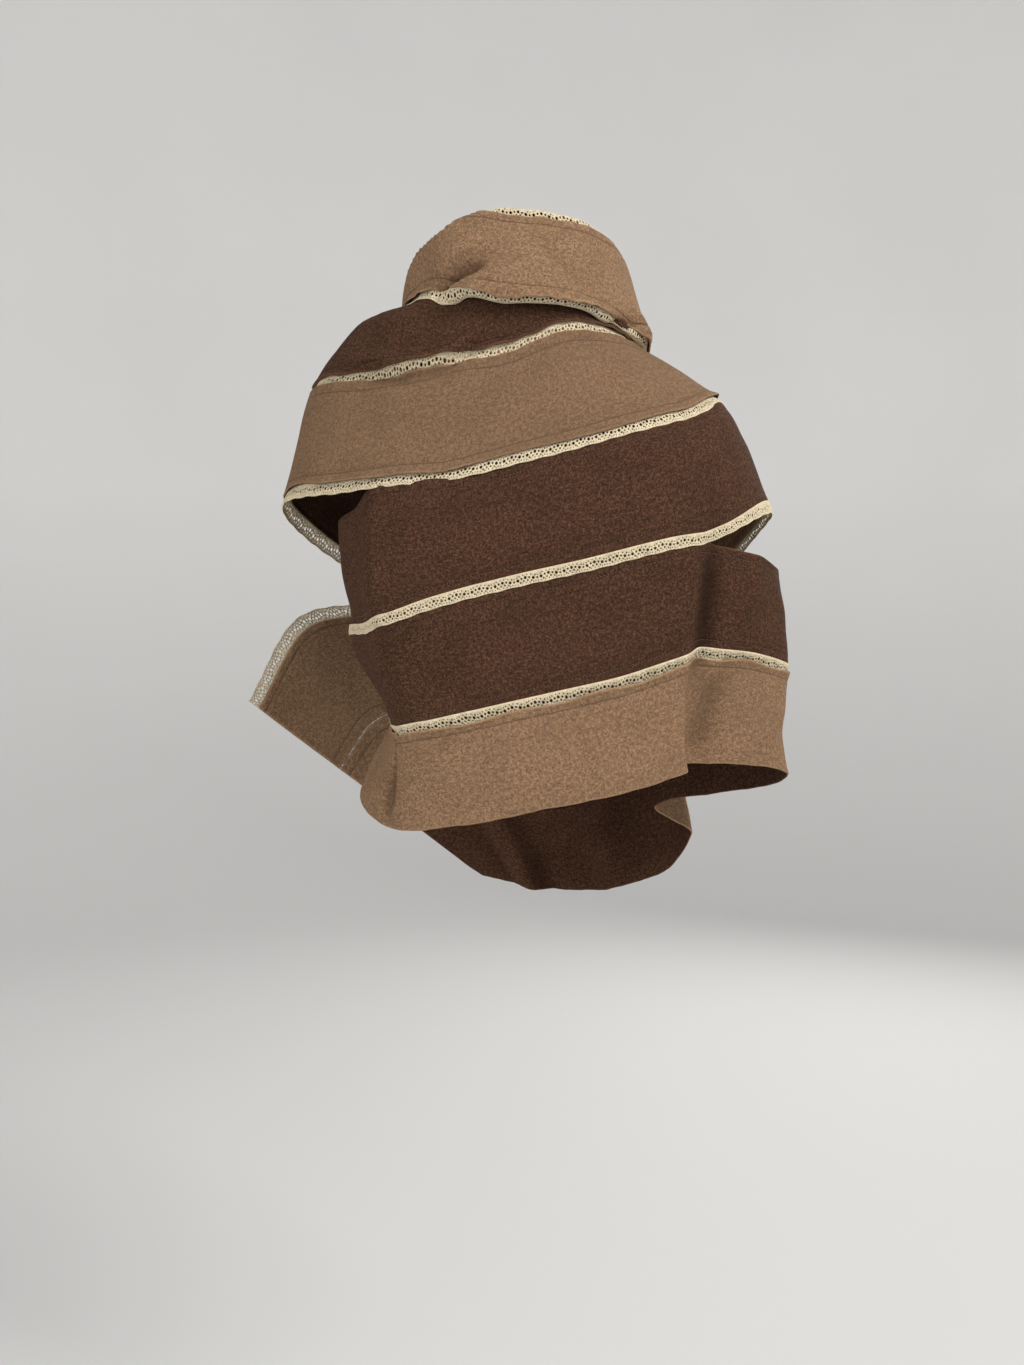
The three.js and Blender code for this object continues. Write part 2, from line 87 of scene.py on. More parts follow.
# The yoke, a row for each section round the neck. Each pair is (out, up). crest: the top fold of
# the cowl. turned_in: how much of the cowl strip goes over it and down inside. cowl: the cowl
# strip's lower edge. tuck: the fold of the shoulder strip. shoulder: that strip's lower edge.
# hem: the yoke strip's lower edge. lean, fall: how the lace there slopes outward from plumb.
YokeSection = namedtuple("YokeSection", "turn crest turned_in cowl tuck shoulder hem lean fall")
YOKE_SECTIONS = [
    YokeSection(0, (84, 83), -8, (105, -3), (84, 14), (97, -42), (113, -139), -60, 5),
    YokeSection(30, (89, 77), -8, (115, -7), (92, 12), (105, -22), (128, -122), -60, 7),
    YokeSection(60, (96, 70), -3, (117, -17), (94, 2), (107, -24), (170, -97), -60, 22),
    YokeSection(90, (104, 54), 4, (130, -25), (104, -6), (114, -32), (192, -74), -60, 27),
    YokeSection(118, (106, 33), 10, (130, -42), (110, -26), (124, -62), (186, -128), -40, 15),
    YokeSection(144, (104, 20), 16, (129, -60), (118, -72), (134, -118), (170, -212), -15, 8),
    YokeSection(180, (100, 15), 22, (124, -66), (128, -112), (134, -160), (156, -262), 5, 5),
    YokeSection(210, (97, 20), 30, (118, -56), (132, -102), (142, -152), (162, -254), 15, 6),
    YokeSection(240, (94, 28), 40, (106, -28), (138, -62), (163, -112), (186, -212), 35, 9),
    YokeSection(270, (95, 32), 44, (98, -4), (139, -16), (183, -62), (205, -164), 60, 8),
    YokeSection(300, (93, 56), 26, (92, 9), (118, -8), (136, -60), (162, -158), 20, 10),
    YokeSection(318, (91, 66), 12, (95, 10), (104, -22), (119, -57), (141, -154), 0, 8),
    YokeSection(335, (87, 77), 4, (101, 6), (89, -4), (105, -50), (124, -151), -45, 7),
]

# The wrap, a row for each station along it. top: the upper strip's top edge as (turn, out, up),
# or only its turn where the yoke carries it. hem: the hem strip's lower edge. slit: how far the
# slit for the right arm stands open.
WrapStation = namedtuple("WrapStation", "top hem slit")
WRAP_STATIONS = [
    WrapStation((-140, 132, -222), (-112, 118, -415), 0),
    WrapStation((-112, 146, -208), (-87, 136, -430), 0),
    WrapStation((-85, 156, -190), (-62, 142, -450), 0),
    WrapStation((-64, 147, -180), (-43, 139, -460), 0),
    WrapStation((-48,), (-22, 127, -455), 0),
    WrapStation((-22,), (4, 124, -444), 0),
    WrapStation((5,), (28, 138, -433), 0),
    WrapStation((28,), (45, 158, -424), 0),
    WrapStation((44,), (56, 170, -416), 0),
    WrapStation((57,), (66, 190, -408), 0),
    WrapStation((69,), (76, 226, -408), 26),
    WrapStation((81,), (86, 256, -420), 54),
    WrapStation((93,), (96, 249, -436), 48),
    WrapStation((105,), (104, 222, -446), 12),
    WrapStation((116,), (110, 195, -458), 0),
    WrapStation((128,), (117, 205, -492), 0),
    WrapStation((141,), (126, 205, -530), 0),
    WrapStation((156,), (136, 195, -550), 0),
    WrapStation((172,), (147, 182, -560), 0),
    WrapStation((188,), (158, 172, -562), 0),
    WrapStation((208, 174, -276), (167, 166, -560), 0),
    WrapStation((228, 196, -274), (176, 164, -556), 0),
    WrapStation((245, 226, -290), (183, 164, -552), 0),
    WrapStation((253, 258, -366), (190, 168, -548), 0),
]

# The widths of the strips above and below the middle one, a row for each place along the wrap.
StripWidths = namedtuple("StripWidths", "station upper hem")
WRAP_STRIP_WIDTHS = [
    StripWidths(0, 108, 88), StripWidths(2, 109, 87), StripWidths(3, 109, 86),
    StripWidths(4, 115, 86), StripWidths(4.7, 96, 82), StripWidths(5.3, 89, 81),
    StripWidths(7, 89, 83), StripWidths(8.3, 92, 87), StripWidths(9.2, 100, 92),
    StripWidths(10.5, 101, 95), StripWidths(12, 102, 98), StripWidths(23, 102, 98),
]
FIRST_JOINED_STATION = 4
LAST_JOINED_STATION = 19
LAST_STATION = len(WRAP_STATIONS) - 1
FRONT_EDGE_LACE_START = 19.6

# The wrap's folds. before, after: how far the cloth takes to come back out, in stations. begins,
# deepest: shares of the whole width. left: the share of the depth that is left at the hem. A
# swell has a negative depth.
WrapFold = namedtuple("WrapFold", "name station before after depth begins deepest left")
WRAP_FOLDS = [
    WrapFold("gather under the left arm", 1.6, 2.2, 2.2, 34, 0.38, 0.7, 0.1),
    WrapFold("pleat behind the right arm", 9.1, 0.7, 1.6, 30, 0.62, 1, 1),
    WrapFold("swell over the right arm", 11.6, 2, 1.8, -8, 0.3, 0.66, 0.1),
    WrapFold("fold before the right arm", 14.1, 1.5, 1.0, 42, 0.35, 1, 1),
    WrapFold("first drape at the front", 17.4, 0.9, 0.9, 22, 0.45, 1, 1),
    WrapFold("second drape at the front", 20.4, 0.9, 0.9, 20, 0.5, 1, 1),
]

# Creases set one by one. On the yoke a place is (turn, millimetres below the crest), and on the
# wrap (station, millimetres below the top edge). A negative depth is a soft ridge.
# A crease's depth also sets the painted shade in the felt there.
Crease = namedtuple("Crease", "name start end width depth")
YOKE_CREASES = [
    Crease("cowl, slanting in at the left back", (346, 50), (319, 54), 4.6, 10.5),
    Crease("cowl, wide hollow where that crease ends", (356, 40), (338, 48), 9, 3.0),
    Crease("cowl, swell above that crease", (348, 32), (318, 34), 9, -4.5),
    Crease("cowl, swell below that crease", (356, 64), (338, 68), 7, -3.0),
    Crease("cowl, hollow right of the back", (14, 30), (38, 66), 12, 4.5),
    Crease("cowl, dimple at its right corner", (56, 86), (76, 74), 6, 8.0),
    Crease("cowl, roll beside that dimple", (74, 60), (86, 84), 8, -4.0),
    Crease("cowl, collapse at the front", (150, 30), (205, 40), 9, 4.5),
    Crease("cowl, lower collapse at the front", (172, 62), (222, 56), 8, 3.5),
    Crease("cowl, slack at the right front", (98, 34), (132, 52), 9, 3.5),
    Crease("cowl, slack at the left", (246, 40), (284, 30), 9, 3.0),
    Crease("shoulder, soft roll at the left back", (292, 116), (340, 124), 8, -7.0),
    Crease("shoulder, hollow under that roll", (300, 132), (346, 138), 7, 6.0),
    Crease("yoke, pull from the left shoulder", (300, 176), (334, 190), 20, 2.4),
    Crease("yoke, pull from the right shoulder", (48, 150), (20, 176), 20, 2.2),
    Crease("yoke, drape at the left front", (222, 176), (236, 244), 16, 4.0),
    Crease("yoke, drape at the right front", (138, 160), (150, 226), 16, 3.5),
]
WRAP_CREASES = [
    Crease("behind the right arm", (9.2, 112), (8.95, 226), 15, 10.5),
    Crease("hem strip, beside the pleat", (9.45, 232), (9.4, 300), 13, 6.5),
    Crease("right of that valley", (10.3, 126), (10.0, 206), 12, -3.0),
    Crease("upper strip, above that valley", (9.4, 58), (9.25, 104), 13, 4.0),
    Crease("hem strip, valley at the left", (3.0, 212), (2.7, 290), 8, 10.0),
    Crease("hem strip, pressed line at the back", (6.1, 206), (6.25, 290), 4.0, 1.8),
    Crease("upper strip, pull from the right shoulder", (8.6, 18), (7.6, 84), 18, 2.6),
    Crease("upper strip, slack at the left back", (4.1, 36), (4.9, 92), 20, 2.4),
    Crease("middle strip, slack at the left back", (3.6, 128), (4.6, 190), 17, 2.2),
    Crease("before the right shoulder", (12.6, 24), (13.2, 96), 14, 3.5),
    Crease("right chest", (15.4, 20), (16.2, 104), 16, 3.5),
    Crease("left chest", (18.4, 16), (19.2, 98), 16, 3.5),
    Crease("loose corner", (21.2, 44), (21.9, 128), 13, 3.5),
    Crease("under the left arm", (1.4, 40), (2.0, 112), 14, 2.5),
]
YOKE_MM_PER_DEGREE = 2.0
WRAP_MM_PER_STATION = 50.0

# How the yoke's ribs are drawn.
INNER_LEAN = 16.0
INNER_SPARE = 6.0
COWL_LACE_REACH = SEAM_GAP + LACE_WIDTH + SEAM_GAP
YOKE_LACE_REACH = SEAM_GAP + YOKE_LACE_WIDTH + SEAM_GAP
CORNER_CUTS = {"crest": 18, "cowl": 14, "under": 7, "tuck": 13, "shoulder": 40, "hem": 25}
LONGEST_CUT = 0.48
CORNER_STEPS = 16
# Further apart than any rib is long, so that all the ribs can be searched as one list.
RIBS_APART = 10000.0

# How the wrap leaves the yoke's edge, and over how many stations that fades where it is free.
LEAVE_STRENGTH = 1.6
JOIN_FADE = 1.5
# The stations between which the sewn top edge begins and ends, how far below it the relief is
# full, and how little the slit may gape where it counts as sewn.
JOIN_BEGINS = (3.5, 4.1)
JOIN_ENDS = (18.9, 19.5)
RELIEF_FULL = 40.0
SLIT_SEWN = 6.0

# How a crease fades towards its two ends.
CREASE_TAPER = 0.6
CREASE_TAPER_POWER = 3

# How finely normals are read and meshes are divided.
NORMAL_TURN = 0.5
NORMAL_LENGTH = 1.5
NORMAL_STATION = 0.04
COLUMN_STEP = 2.6
ROW_STEP = 3.4
RUN_SAMPLES = 1441
TINY = 1e-9
TINY_LENGTH = 1e-6


# ---- Curves ----

def curve_through(places, values, period=0.0):
    """A smooth curve through values at uneven places, with each slope from its neighbours."""
    places, values = np.array(places, float), np.array(values, float)
    first = places[0]
    if period:
        places = np.concatenate([places[-2:] - period, places, places[:3] + period])
        values = np.concatenate([values[-2:], values, values[:3]])
    slopes = np.empty_like(values)
    slopes[1:-1] = (values[2:] - values[:-2]) / (places[2:] - places[:-2])
    slopes[0] = (values[1] - values[0]) / (places[1] - places[0])
    slopes[-1] = (values[-1] - values[-2]) / (places[-1] - places[-2])

    def read(at):
        at = np.asarray(at, float)
        if period:
            at = np.mod(at - first, period) + first
        i = np.clip(np.searchsorted(places, at, side="right") - 1, 0, len(places) - 2)
        span = places[i + 1] - places[i]
        t = (at - places[i]) / span
        inner = np.clip(t, 0.0, 1.0)
        t2, t3 = inner ** 2, inner ** 3
        curve = ((2 * t3 - 3 * t2 + 1) * values[i] + (t3 - 2 * t2 + inner) * span * slopes[i]
                 + (3 * t2 - 2 * t3) * values[i + 1] + (t3 - t2) * span * slopes[i + 1])
        past = (t - inner) * span
        return curve + past * np.where(t < 0, slopes[i], slopes[i + 1])

    return read


def smooth_between(value, low, high):
    """Eases from 0 at low to 1 at high."""
    t = np.clip((value - low) / (high - low), 0.0, 1.0)
    return t * t * (3 - 2 * t)


def nearest_way(away, around):
    """The same distance taken the shorter way round."""
    return np.mod(away + around / 2, around) - around / 2


def unit(vectors):
    """The same directions, each one long."""
    return vectors / np.maximum(np.linalg.norm(vectors, axis=-1, keepdims=True), TINY)


def place(turn, out, up):
    """A point at a turn about the neck's axis, so far out from it and so far up."""
    turn = np.radians(turn)
    return np.stack([out * np.sin(turn), -out * np.cos(turn), up + 0 * turn], axis=-1)


# ---- The yoke's surface ----

def _round_yoke(read):
    """A smooth curve all round the yoke through what is read from each of its sections."""
    return curve_through([s.turn for s in YOKE_SECTIONS], [read(s) for s in YOKE_SECTIONS],
                         FULL_TURN)


YOKE_CURVES = {
    name: tuple(_round_yoke(lambda s, n=name, a=axis: getattr(s, n)[a]) for axis in range(2))
    for name in ("crest", "cowl", "tuck", "shoulder", "hem")
}
turned_in_at = _round_yoke(lambda s: s.turned_in)
lean_at = _round_yoke(lambda s: s.lean)
fall_at = _round_yoke(lambda s: s.fall)


def rounded_path(knots, cuts):
    """Straight legs from knot to knot with rounded corners, and the index of each corner's middle."""
    parts, middles, count = [knots[:, :1]], [], 1
    t = np.linspace(0.0, 1.0, CORNER_STEPS + 1)[None, :, None]
    for i, longest in enumerate(cuts, 1):
        before, knot, after = knots[:, i - 1], knots[:, i], knots[:, i + 1]
        leg_in = np.linalg.norm(knot - before, axis=1)
        leg_out = np.linalg.norm(after - knot, axis=1)
        cut = np.minimum(longest, LONGEST_CUT * np.minimum(leg_in, leg_out))
        enter = knot + (before - knot) * (cut / leg_in)[:, None]
        leave = knot + (after - knot) * (cut / leg_out)[:, None]
        first = enter[:, None] + (knot - enter)[:, None] * t
        second = knot[:, None] + (leave - knot)[:, None] * t
        parts.append(first + (second - first) * t)
        middles.append(count + CORNER_STEPS // 2)
        count += CORNER_STEPS + 1
    parts.append(knots[:, -1:])
    return np.concatenate(parts, axis=1), middles


def yoke_ribs(turn):
    """The ribs at these turns: (out, up) points, lengths along them, and the named lengths."""
    turn = np.atleast_1d(np.asarray(turn, float))
    knot = {name: np.stack([out(turn), up(turn)], -1) for name, (out, up) in YOKE_CURVES.items()}

    def sloping(start, length, slope):
        slope = np.radians(slope)
        return start + length * np.stack([np.sin(slope), -np.cos(slope)], -1)

    reach = np.maximum(turned_in_at(turn), 0) + LACE_WIDTH + NECK_STRIP_WIDTH + INNER_SPARE
    inner = knot["crest"] - np.stack([np.full_like(reach, INNER_LEAN), reach], -1)
    under = sloping(knot["cowl"], COWL_LACE_REACH, lean_at(turn))
    end = sloping(knot["hem"], YOKE_LACE_REACH, fall_at(turn))
    knots = np.stack([inner, knot["crest"], knot["cowl"], under, knot["tuck"],
                      knot["shoulder"], knot["hem"], end], axis=1)
    points, middles = rounded_path(knots, CORNER_CUTS.values())
    steps = np.linalg.norm(np.diff(points, axis=1), axis=2)
    lengths = np.concatenate([np.zeros((len(turn), 1)), np.cumsum(steps, axis=1)], axis=1)
    marks = {name: lengths[:, i] for name, i in zip(CORNER_CUTS, middles)}
    marks["top"] = marks["crest"] - turned_in_at(turn)
    marks["end"] = lengths[:, -1]
    marks["neck_edge"] = marks["top"] - 2 * SEAM_GAP - LACE_WIDTH
    return points, lengths, marks


def yoke_points(turn, down):
    """Places on the yoke, from flat arrays of turns and rib lengths."""
    turns, which = np.unique(turn, return_inverse=True)
    points, lengths, _ = yoke_ribs(turns)
    count = lengths.shape[1]
    row = np.arange(len(turns))[:, None] * RIBS_APART
    i = np.searchsorted((lengths + row).ravel(), down + which * RIBS_APART, side="right") - 1
    i = np.clip(i, which * count, which * count + count - 2)
    flat, far = points.reshape(-1, 2), lengths.ravel()
    t = ((down - far[i]) / np.maximum(far[i + 1] - far[i], TINY_LENGTH))[:, None]
    spot = flat[i] + t * (flat[i + 1] - flat[i])
    return place(turn, spot[:, 0], spot[:, 1])


# ---- The wrap's surface ----

def _wrap_tops():
    """The wrap's top edge at each station, read off the yoke's lower edge where that carries it."""
    rows = []
    for row in WRAP_STATIONS:
        if len(row.top) > 1:
            rows.append(row.top)
        else:
            out, up = yoke_ribs(row.top[0])[0][0, -1]
            rows.append((row.top[0], out, up))
    return rows


_STATIONS = list(range(len(WRAP_STATIONS)))
TOP_CURVES = [curve_through(_STATIONS, [row[axis] for row in _wrap_tops()]) for axis in range(3)]
HEM_CURVES = [curve_through(_STATIONS, [s.hem[axis] for s in WRAP_STATIONS]) for axis in range(3)]
slit_curve = curve_through(_STATIONS, [s.slit for s in WRAP_STATIONS])
_WIDTH_STATIONS = [row.station for row in WRAP_STRIP_WIDTHS]
upper_width = curve_through(_WIDTH_STATIONS, [row.upper for row in WRAP_STRIP_WIDTHS])
hem_width = curve_through(_WIDTH_STATIONS, [row.hem for row in WRAP_STRIP_WIDTHS])


def wrap_seams(station):
    """Distances from the wrap's top edge down to each of its seams, and its whole width."""
    slit = np.maximum(slit_curve(station), 0.0)
    upper = upper_width(station)
    middle = upper + 2 * SEAM_GAP + LACE_WIDTH + slit
    hem = middle + MIDDLE_STRIP_WIDTH + 2 * SEAM_GAP + LACE_WIDTH
    return {"upper": upper, "middle": middle, "middle_edge": middle + MIDDLE_STRIP_WIDTH,
            "hem": hem, "whole": hem + hem_width(station)}


def fold_depth(station, share):
    """How far the wrap's folds push it in, at a share of the way down from its top edge."""
    depth = np.zeros_like(share)
    for fold in WRAP_FOLDS:
        away = station - fold.station
        reach = np.where(away < 0, fold.before, fold.after)
        across = 0.5 + 0.5 * np.cos(math.pi * np.clip(away / reach, -1, 1))
        past = 1 - (1 - fold.left) * smooth_between(share, fold.deepest, 1 + TINY)
        grown = smooth_between(share, fold.begins, fold.deepest)
        depth += fold.depth * across * np.where(share < fold.deepest, grown, past)
    return depth


def wrap_points(station, down):
    """Places on the wrap, from flat arrays of stations and distances below the top edge."""
    at, which = np.unique(station, return_inverse=True)
    turn, out, up = (curve(at) for curve in TOP_CURVES)
    points, _, _ = yoke_ribs(turn)
    joined = (at >= FIRST_JOINED_STATION) & (at <= LAST_JOINED_STATION)
    top = place(turn, np.where(joined, points[:, -1, 0], out),
                np.where(joined, points[:, -1, 1], up))
    chord = place(*(curve(at) for curve in HEM_CURVES)) - top
    size = np.linalg.norm(chord, axis=1)
    straight = chord / size[:, None]
    fall = np.radians(fall_at(turn))
    leave = place(turn, np.sin(fall), -np.cos(fall))
    left = np.maximum(np.maximum(FIRST_JOINED_STATION - at, at - LAST_JOINED_STATION), 0)
    held = np.clip(1 - left / JOIN_FADE, 0, 1)[:, None]
    start = unit(straight + (leave - straight) * held)
    share = down / wrap_seams(at)["whole"][which]
    bow = LEAVE_STRENGTH * size[which] * share * (1 - share) ** 2
    spot = top[which] + chord[which] * share[:, None] + (start - straight)[which] * bow[:, None]
    inward = spot * [-1, -1, 0]
    return spot + unit(inward) * fold_depth(station, share)[:, None]


# ---- Relief of the cloth ----

def furrows(creases, along, down, scale, around=None):
    """How far the listed creases push the cloth in at each place."""
    depth = np.zeros_like(down)
    for crease in creases:
        away = along - crease.start[0]
        run = crease.end[0] - crease.start[0]
        if around:
            away = nearest_way(away, around)
        x, y = away * scale, down - crease.start[1]
        run_x, run_y = run * scale, crease.end[1] - crease.start[1]
        t = np.clip((x * run_x + y * run_y) / (run_x ** 2 + run_y ** 2), 0, 1)
        off = np.hypot(x - t * run_x, y - t * run_y) / crease.width
        taper = 1 - CREASE_TAPER * np.abs(2 * t - 1) ** CREASE_TAPER_POWER
        depth += crease.depth * taper * np.exp(-off ** 2)
    return depth


def soft_waves(seed, along, down, waves, around=None):
    """Slight unevenness as a sum of slow waves, each (length, height), with a fixed seed."""
    rng = np.random.default_rng(seed)
    height = np.zeros_like(np.asarray(along, float) + down)
    for length, size in waves:
        heading, phase = rng.uniform(0, 2 * math.pi, 2)
        pitch = 2 * math.pi / length
        run, fall = pitch * math.cos(heading), pitch * math.sin(heading)
        if around:
            whole = 2 * math.pi / around
            run = whole * round(run / whole)
        height += size * np.sin(run * along + fall * down + phase)
    return height


CLOTH_WAVES = ((130, 0.9), (92, 0.6), (64, 0.45), (45, 0.3), (31, 0.18), (22, 0.1))
EDGE_WAVES = ((74, 0.34), (41, 0.3), (24, 0.24), (15, 0.14), (9, 0.07))
# Each felt strip has its own run of seeds, and so has each band of lace.
YOKE_SEED = 11
WRAP_SEED = 23
FELT_SEED = 100
SEEDS_PER_STRIP = 7
LACE_SEED = 300


def crest_at(turn):
    """How far down its rib the crest is at each turn."""
    turns, which = np.unique(turn, return_inverse=True)
    return yoke_ribs(turns)[2]["crest"][which]


def yoke_sunk(turn, down):
    """How far the yoke's creases push it in."""
    return furrows(YOKE_CREASES, turn, down - crest_at(turn), YOKE_MM_PER_DEGREE, FULL_TURN)


def yoke_relief(turn, down):
    """How far the yoke's cloth stands out from its plain form."""
    along = np.mod(turn, FULL_TURN) * YOKE_MM_PER_DEGREE
    waves = soft_waves(YOKE_SEED, along, down, CLOTH_WAVES, FULL_TURN * YOKE_MM_PER_DEGREE)
    return waves - yoke_sunk(turn, down)


def wrap_sunk(station, down):
    """How far the wrap's creases push it in."""
    return furrows(WRAP_CREASES, station, down, WRAP_MM_PER_STATION)


def wrap_relief(station, down):
    """How far the wrap's cloth stands out from its plain form, with none at a sewn top edge."""
    waves = soft_waves(WRAP_SEED, station * WRAP_MM_PER_STATION, down, CLOTH_WAVES)
    below_seam = smooth_between(down, 0, RELIEF_FULL)
    free = 1 - (np.clip(station - FIRST_JOINED_STATION, 0, 1)
                * np.clip(LAST_JOINED_STATION - station, 0, 1))
    return (waves - wrap_sunk(station, down)) * np.maximum(below_seam, free)


class Surface:
    """A part of the cape's form: its places, relief and creases, and how far it runs.

    nudge: how far along it a neighbouring place is read to find which way the cloth faces.
    """

    def __init__(self, points_of, relief_of, sunk_of, nudge, first, last, closed):
        self.points_of, self.relief_of, self.sunk_of = points_of, relief_of, sunk_of
        self.nudge, self.first, self.last, self.closed = nudge, first, last, closed

    def spots(self, along, down, lift=0.0):
        """Places with their relief and lift, and the directions that face outward there."""
        along, down = np.broadcast_arrays(np.asarray(along, float), np.asarray(down, float))
        shape = along.shape
        along, down = along.ravel(), down.ravel()
        ahead = self.points_of(along + self.nudge, down) - self.points_of(along - self.nudge, down)
        below = (self.points_of(along, down + NORMAL_LENGTH)
                 - self.points_of(along, down - NORMAL_LENGTH))
        facing = unit(np.cross(below, ahead))
        raised = self.relief_of(along, down) + np.broadcast_to(lift, shape).ravel()
        spot = self.points_of(along, down) + facing * raised[:, None]
        return spot.reshape(*shape, 3), facing.reshape(*shape, 3)


# The yoke's seam of columns lies at the left side, under the arm.
YOKE_START = 262.0
YOKE = Surface(yoke_points, yoke_relief, yoke_sunk, NORMAL_TURN, YOKE_START,
               YOKE_START + FULL_TURN, True)
WRAP = Surface(wrap_points, wrap_relief, wrap_sunk, NORMAL_STATION, 0.0,
               float(LAST_STATION), False)


class Run:
    """The length of a strip along its middle, from which an even step is found."""

    def __init__(self, surface, edges, first=None, cut=None):
        self.surface, self.edges = surface, edges
        start = surface.first if first is None else first
        self.places = np.linspace(start, surface.last, RUN_SAMPLES)
        self.top, self.bottom = edges(self.places)
        middle = surface.points_of(self.places, (self.top + self.bottom) / 2)
        steps = np.linalg.norm(np.diff(middle, axis=0), axis=1)
        self.lengths = np.concatenate([[0.0], np.cumsum(steps)])
        self.total = self.lengths[-1]
        if cut:
            self.top, self.bottom = cut(self.places)

    def at(self, length):
        """The turn or station at each length along the strip."""
        return np.interp(length, self.lengths, self.places)

    def flat_area(self):
        """The area the strip was cut to, in square metres."""
        width = self.bottom - self.top
        return float(np.sum((width[1:] + width[:-1]) / 2 * np.diff(self.lengths))) * MM * MM

    def flat_size(self):
        """Its width where it is widest and its length, in metres."""
        return float((self.bottom - self.top).max()) * MM, float(self.total) * MM


# ---- The pieces as cut ----

def yoke_edges(read):
    """The two edges of a strip of the yoke, as lengths down its ribs."""
    return lambda turn: read(yoke_ribs(turn)[2])


def wrap_edges(read):
    """The two edges of a strip of the wrap, as distances below its top edge."""
    def edges(station):
        top, bottom = read(wrap_seams(station))
        return top + 0 * station, bottom + 0 * station
    return edges


def everywhere(along):
    """1 all along a strip."""
    return 1 + 0 * along


def slit_closed(station):
    """1 where the slit for the right arm is sewn shut and 0 where it stands open."""
    return 1 - smooth_between(slit_curve(station), 0, SLIT_SEWN)


def yoke_joined(station):
    """1 where the yoke carries the wrap and 0 where its top edge is free."""
    return smooth_between(station, *JOIN_BEGINS) * (1 - smooth_between(station, *JOIN_ENDS))


# How an edge goes on past its seam. reach: how far, under the lace where the felt is brown and
# over it where it is camel. sink: how much lower its end lies. wave: how uneven its cut is.
# curl: how far it stands up. sewn: where along the strip it does so.
Lap = namedtuple("Lap", "reach sink wave curl sewn")
LEAST_REACH = 0.9
UNDER_CAMEL_SINK = 3.4
RAW_EDGE = Lap(0.0, 0.0, 0.8, 0.3, everywhere)
FLAP = Lap(1.3, 0.0, 2.4, 2.0, everywhere)
NEAT_FLAP = Lap(1.0, 0.0, 1.0, 0.6, everywhere)
UNDER_NECK_LACE = Lap(5.0, UNDER_CAMEL_SINK, 0.3, 0.0, everywhere)
UNDER_COWL_LACE = Lap(5.5, UNDER_CAMEL_SINK, 0.3, 0.0, everywhere)
UNDER_YOKE_LACE = Lap(9.6, UNDER_CAMEL_SINK, 0.3, 0.0, yoke_joined)
UNDER_SLIT_LACE = Lap(4.2, 0.0, 0.3, 0.0, slit_closed)
UNDER_HEM_LACE = Lap(8.0, UNDER_CAMEL_SINK, 0.3, 0.0, everywhere)
# How far in from an edge its unevenness and its curl fade, and how uneven the curl is.
WAVE_FADE = 4.0
CURL_FADE = 3.2
CURL_UNEVENNESS = 1.1
# The shares of a lap's reach, or of the lace's width, between which it sinks or crosses over.
CROSSES = (0.1, 0.9)

# outside: the colour of the face that is worn outward. top_stitches, bottom_stitches: how far in
# from each seam its rows of stitches lie. carried_by: the pieces it hangs from or lies on.
FeltStrip = namedtuple("FeltStrip", "name node surface edges outside top_stitches "
                                    "bottom_stitches top_lap bottom_lap carried_by")
FELT_STRIPS = [
    FeltStrip("felt_neck_strip", "neck_strip", YOKE,
              yoke_edges(lambda m: (m["neck_edge"] - NECK_STRIP_WIDTH, m["neck_edge"])),
              "brown", (), (4.5,), RAW_EDGE, UNDER_NECK_LACE, ("felt_cowl_strip",)),
    FeltStrip("felt_cowl_strip", "cowl_strip", YOKE, yoke_edges(lambda m: (m["top"], m["cowl"])),
              "camel", (6.0,), (7.5,), NEAT_FLAP, FLAP, ("felt_shoulder_strip",)),
    FeltStrip("felt_shoulder_strip", "shoulder_strip", YOKE,
              yoke_edges(lambda m: (m["under"], m["shoulder"])),
              "brown", (6.0,), (5.5,), UNDER_COWL_LACE, FLAP, ("lace_band_shoulder",)),
    FeltStrip("felt_yoke_strip", "yoke_strip", YOKE,
              yoke_edges(lambda m: (m["shoulder"] + LACE_WIDTH + 2 * SEAM_GAP, m["hem"])),
              "camel", (9.0,), (6.5,), NEAT_FLAP, FLAP, ("lace_band_shoulder",)),
    FeltStrip("felt_upper_strip", "upper_strip", WRAP,
              wrap_edges(lambda s: (CURVED_SEAM_GAP, s["upper"])),
              "brown", (6.0,), (7.0,), UNDER_YOKE_LACE, UNDER_SLIT_LACE, ("lace_band_yoke",)),
    FeltStrip("felt_middle_strip", "middle_strip", WRAP,
              wrap_edges(lambda s: (s["middle"], s["middle_edge"])),
              "brown", (7.0,), (6.5,), UNDER_SLIT_LACE, UNDER_HEM_LACE, ("lace_band_slit",)),
    FeltStrip("felt_hem_strip", "hem_strip", WRAP, wrap_edges(lambda s: (s["hem"], s["whole"])),
              "camel", (6.0,), (), FLAP, RAW_EDGE, ("lace_band_hem",)),
]

# Painted shade: strips darker than the rest where less light falls, and by what share of the way to
# their depth.
STRIP_PAINTED_SHADE = {"yoke_strip": 0.36, "shoulder_strip": 0.12}


def lap_reach(lap, along):
    """How far an edge goes on past its seam at each place along the strip."""
    least = min(LEAST_REACH, lap.reach)
    return least + (lap.reach - least) * lap.sewn(along)


def cut_edges(strip):
    """The edges of a strip as cut, with what goes on past its seams."""
    def edges(along):
        top, bottom = strip.edges(along)
        return top - lap_reach(strip.top_lap, along), bottom + lap_reach(strip.bottom_lap, along)
    return edges


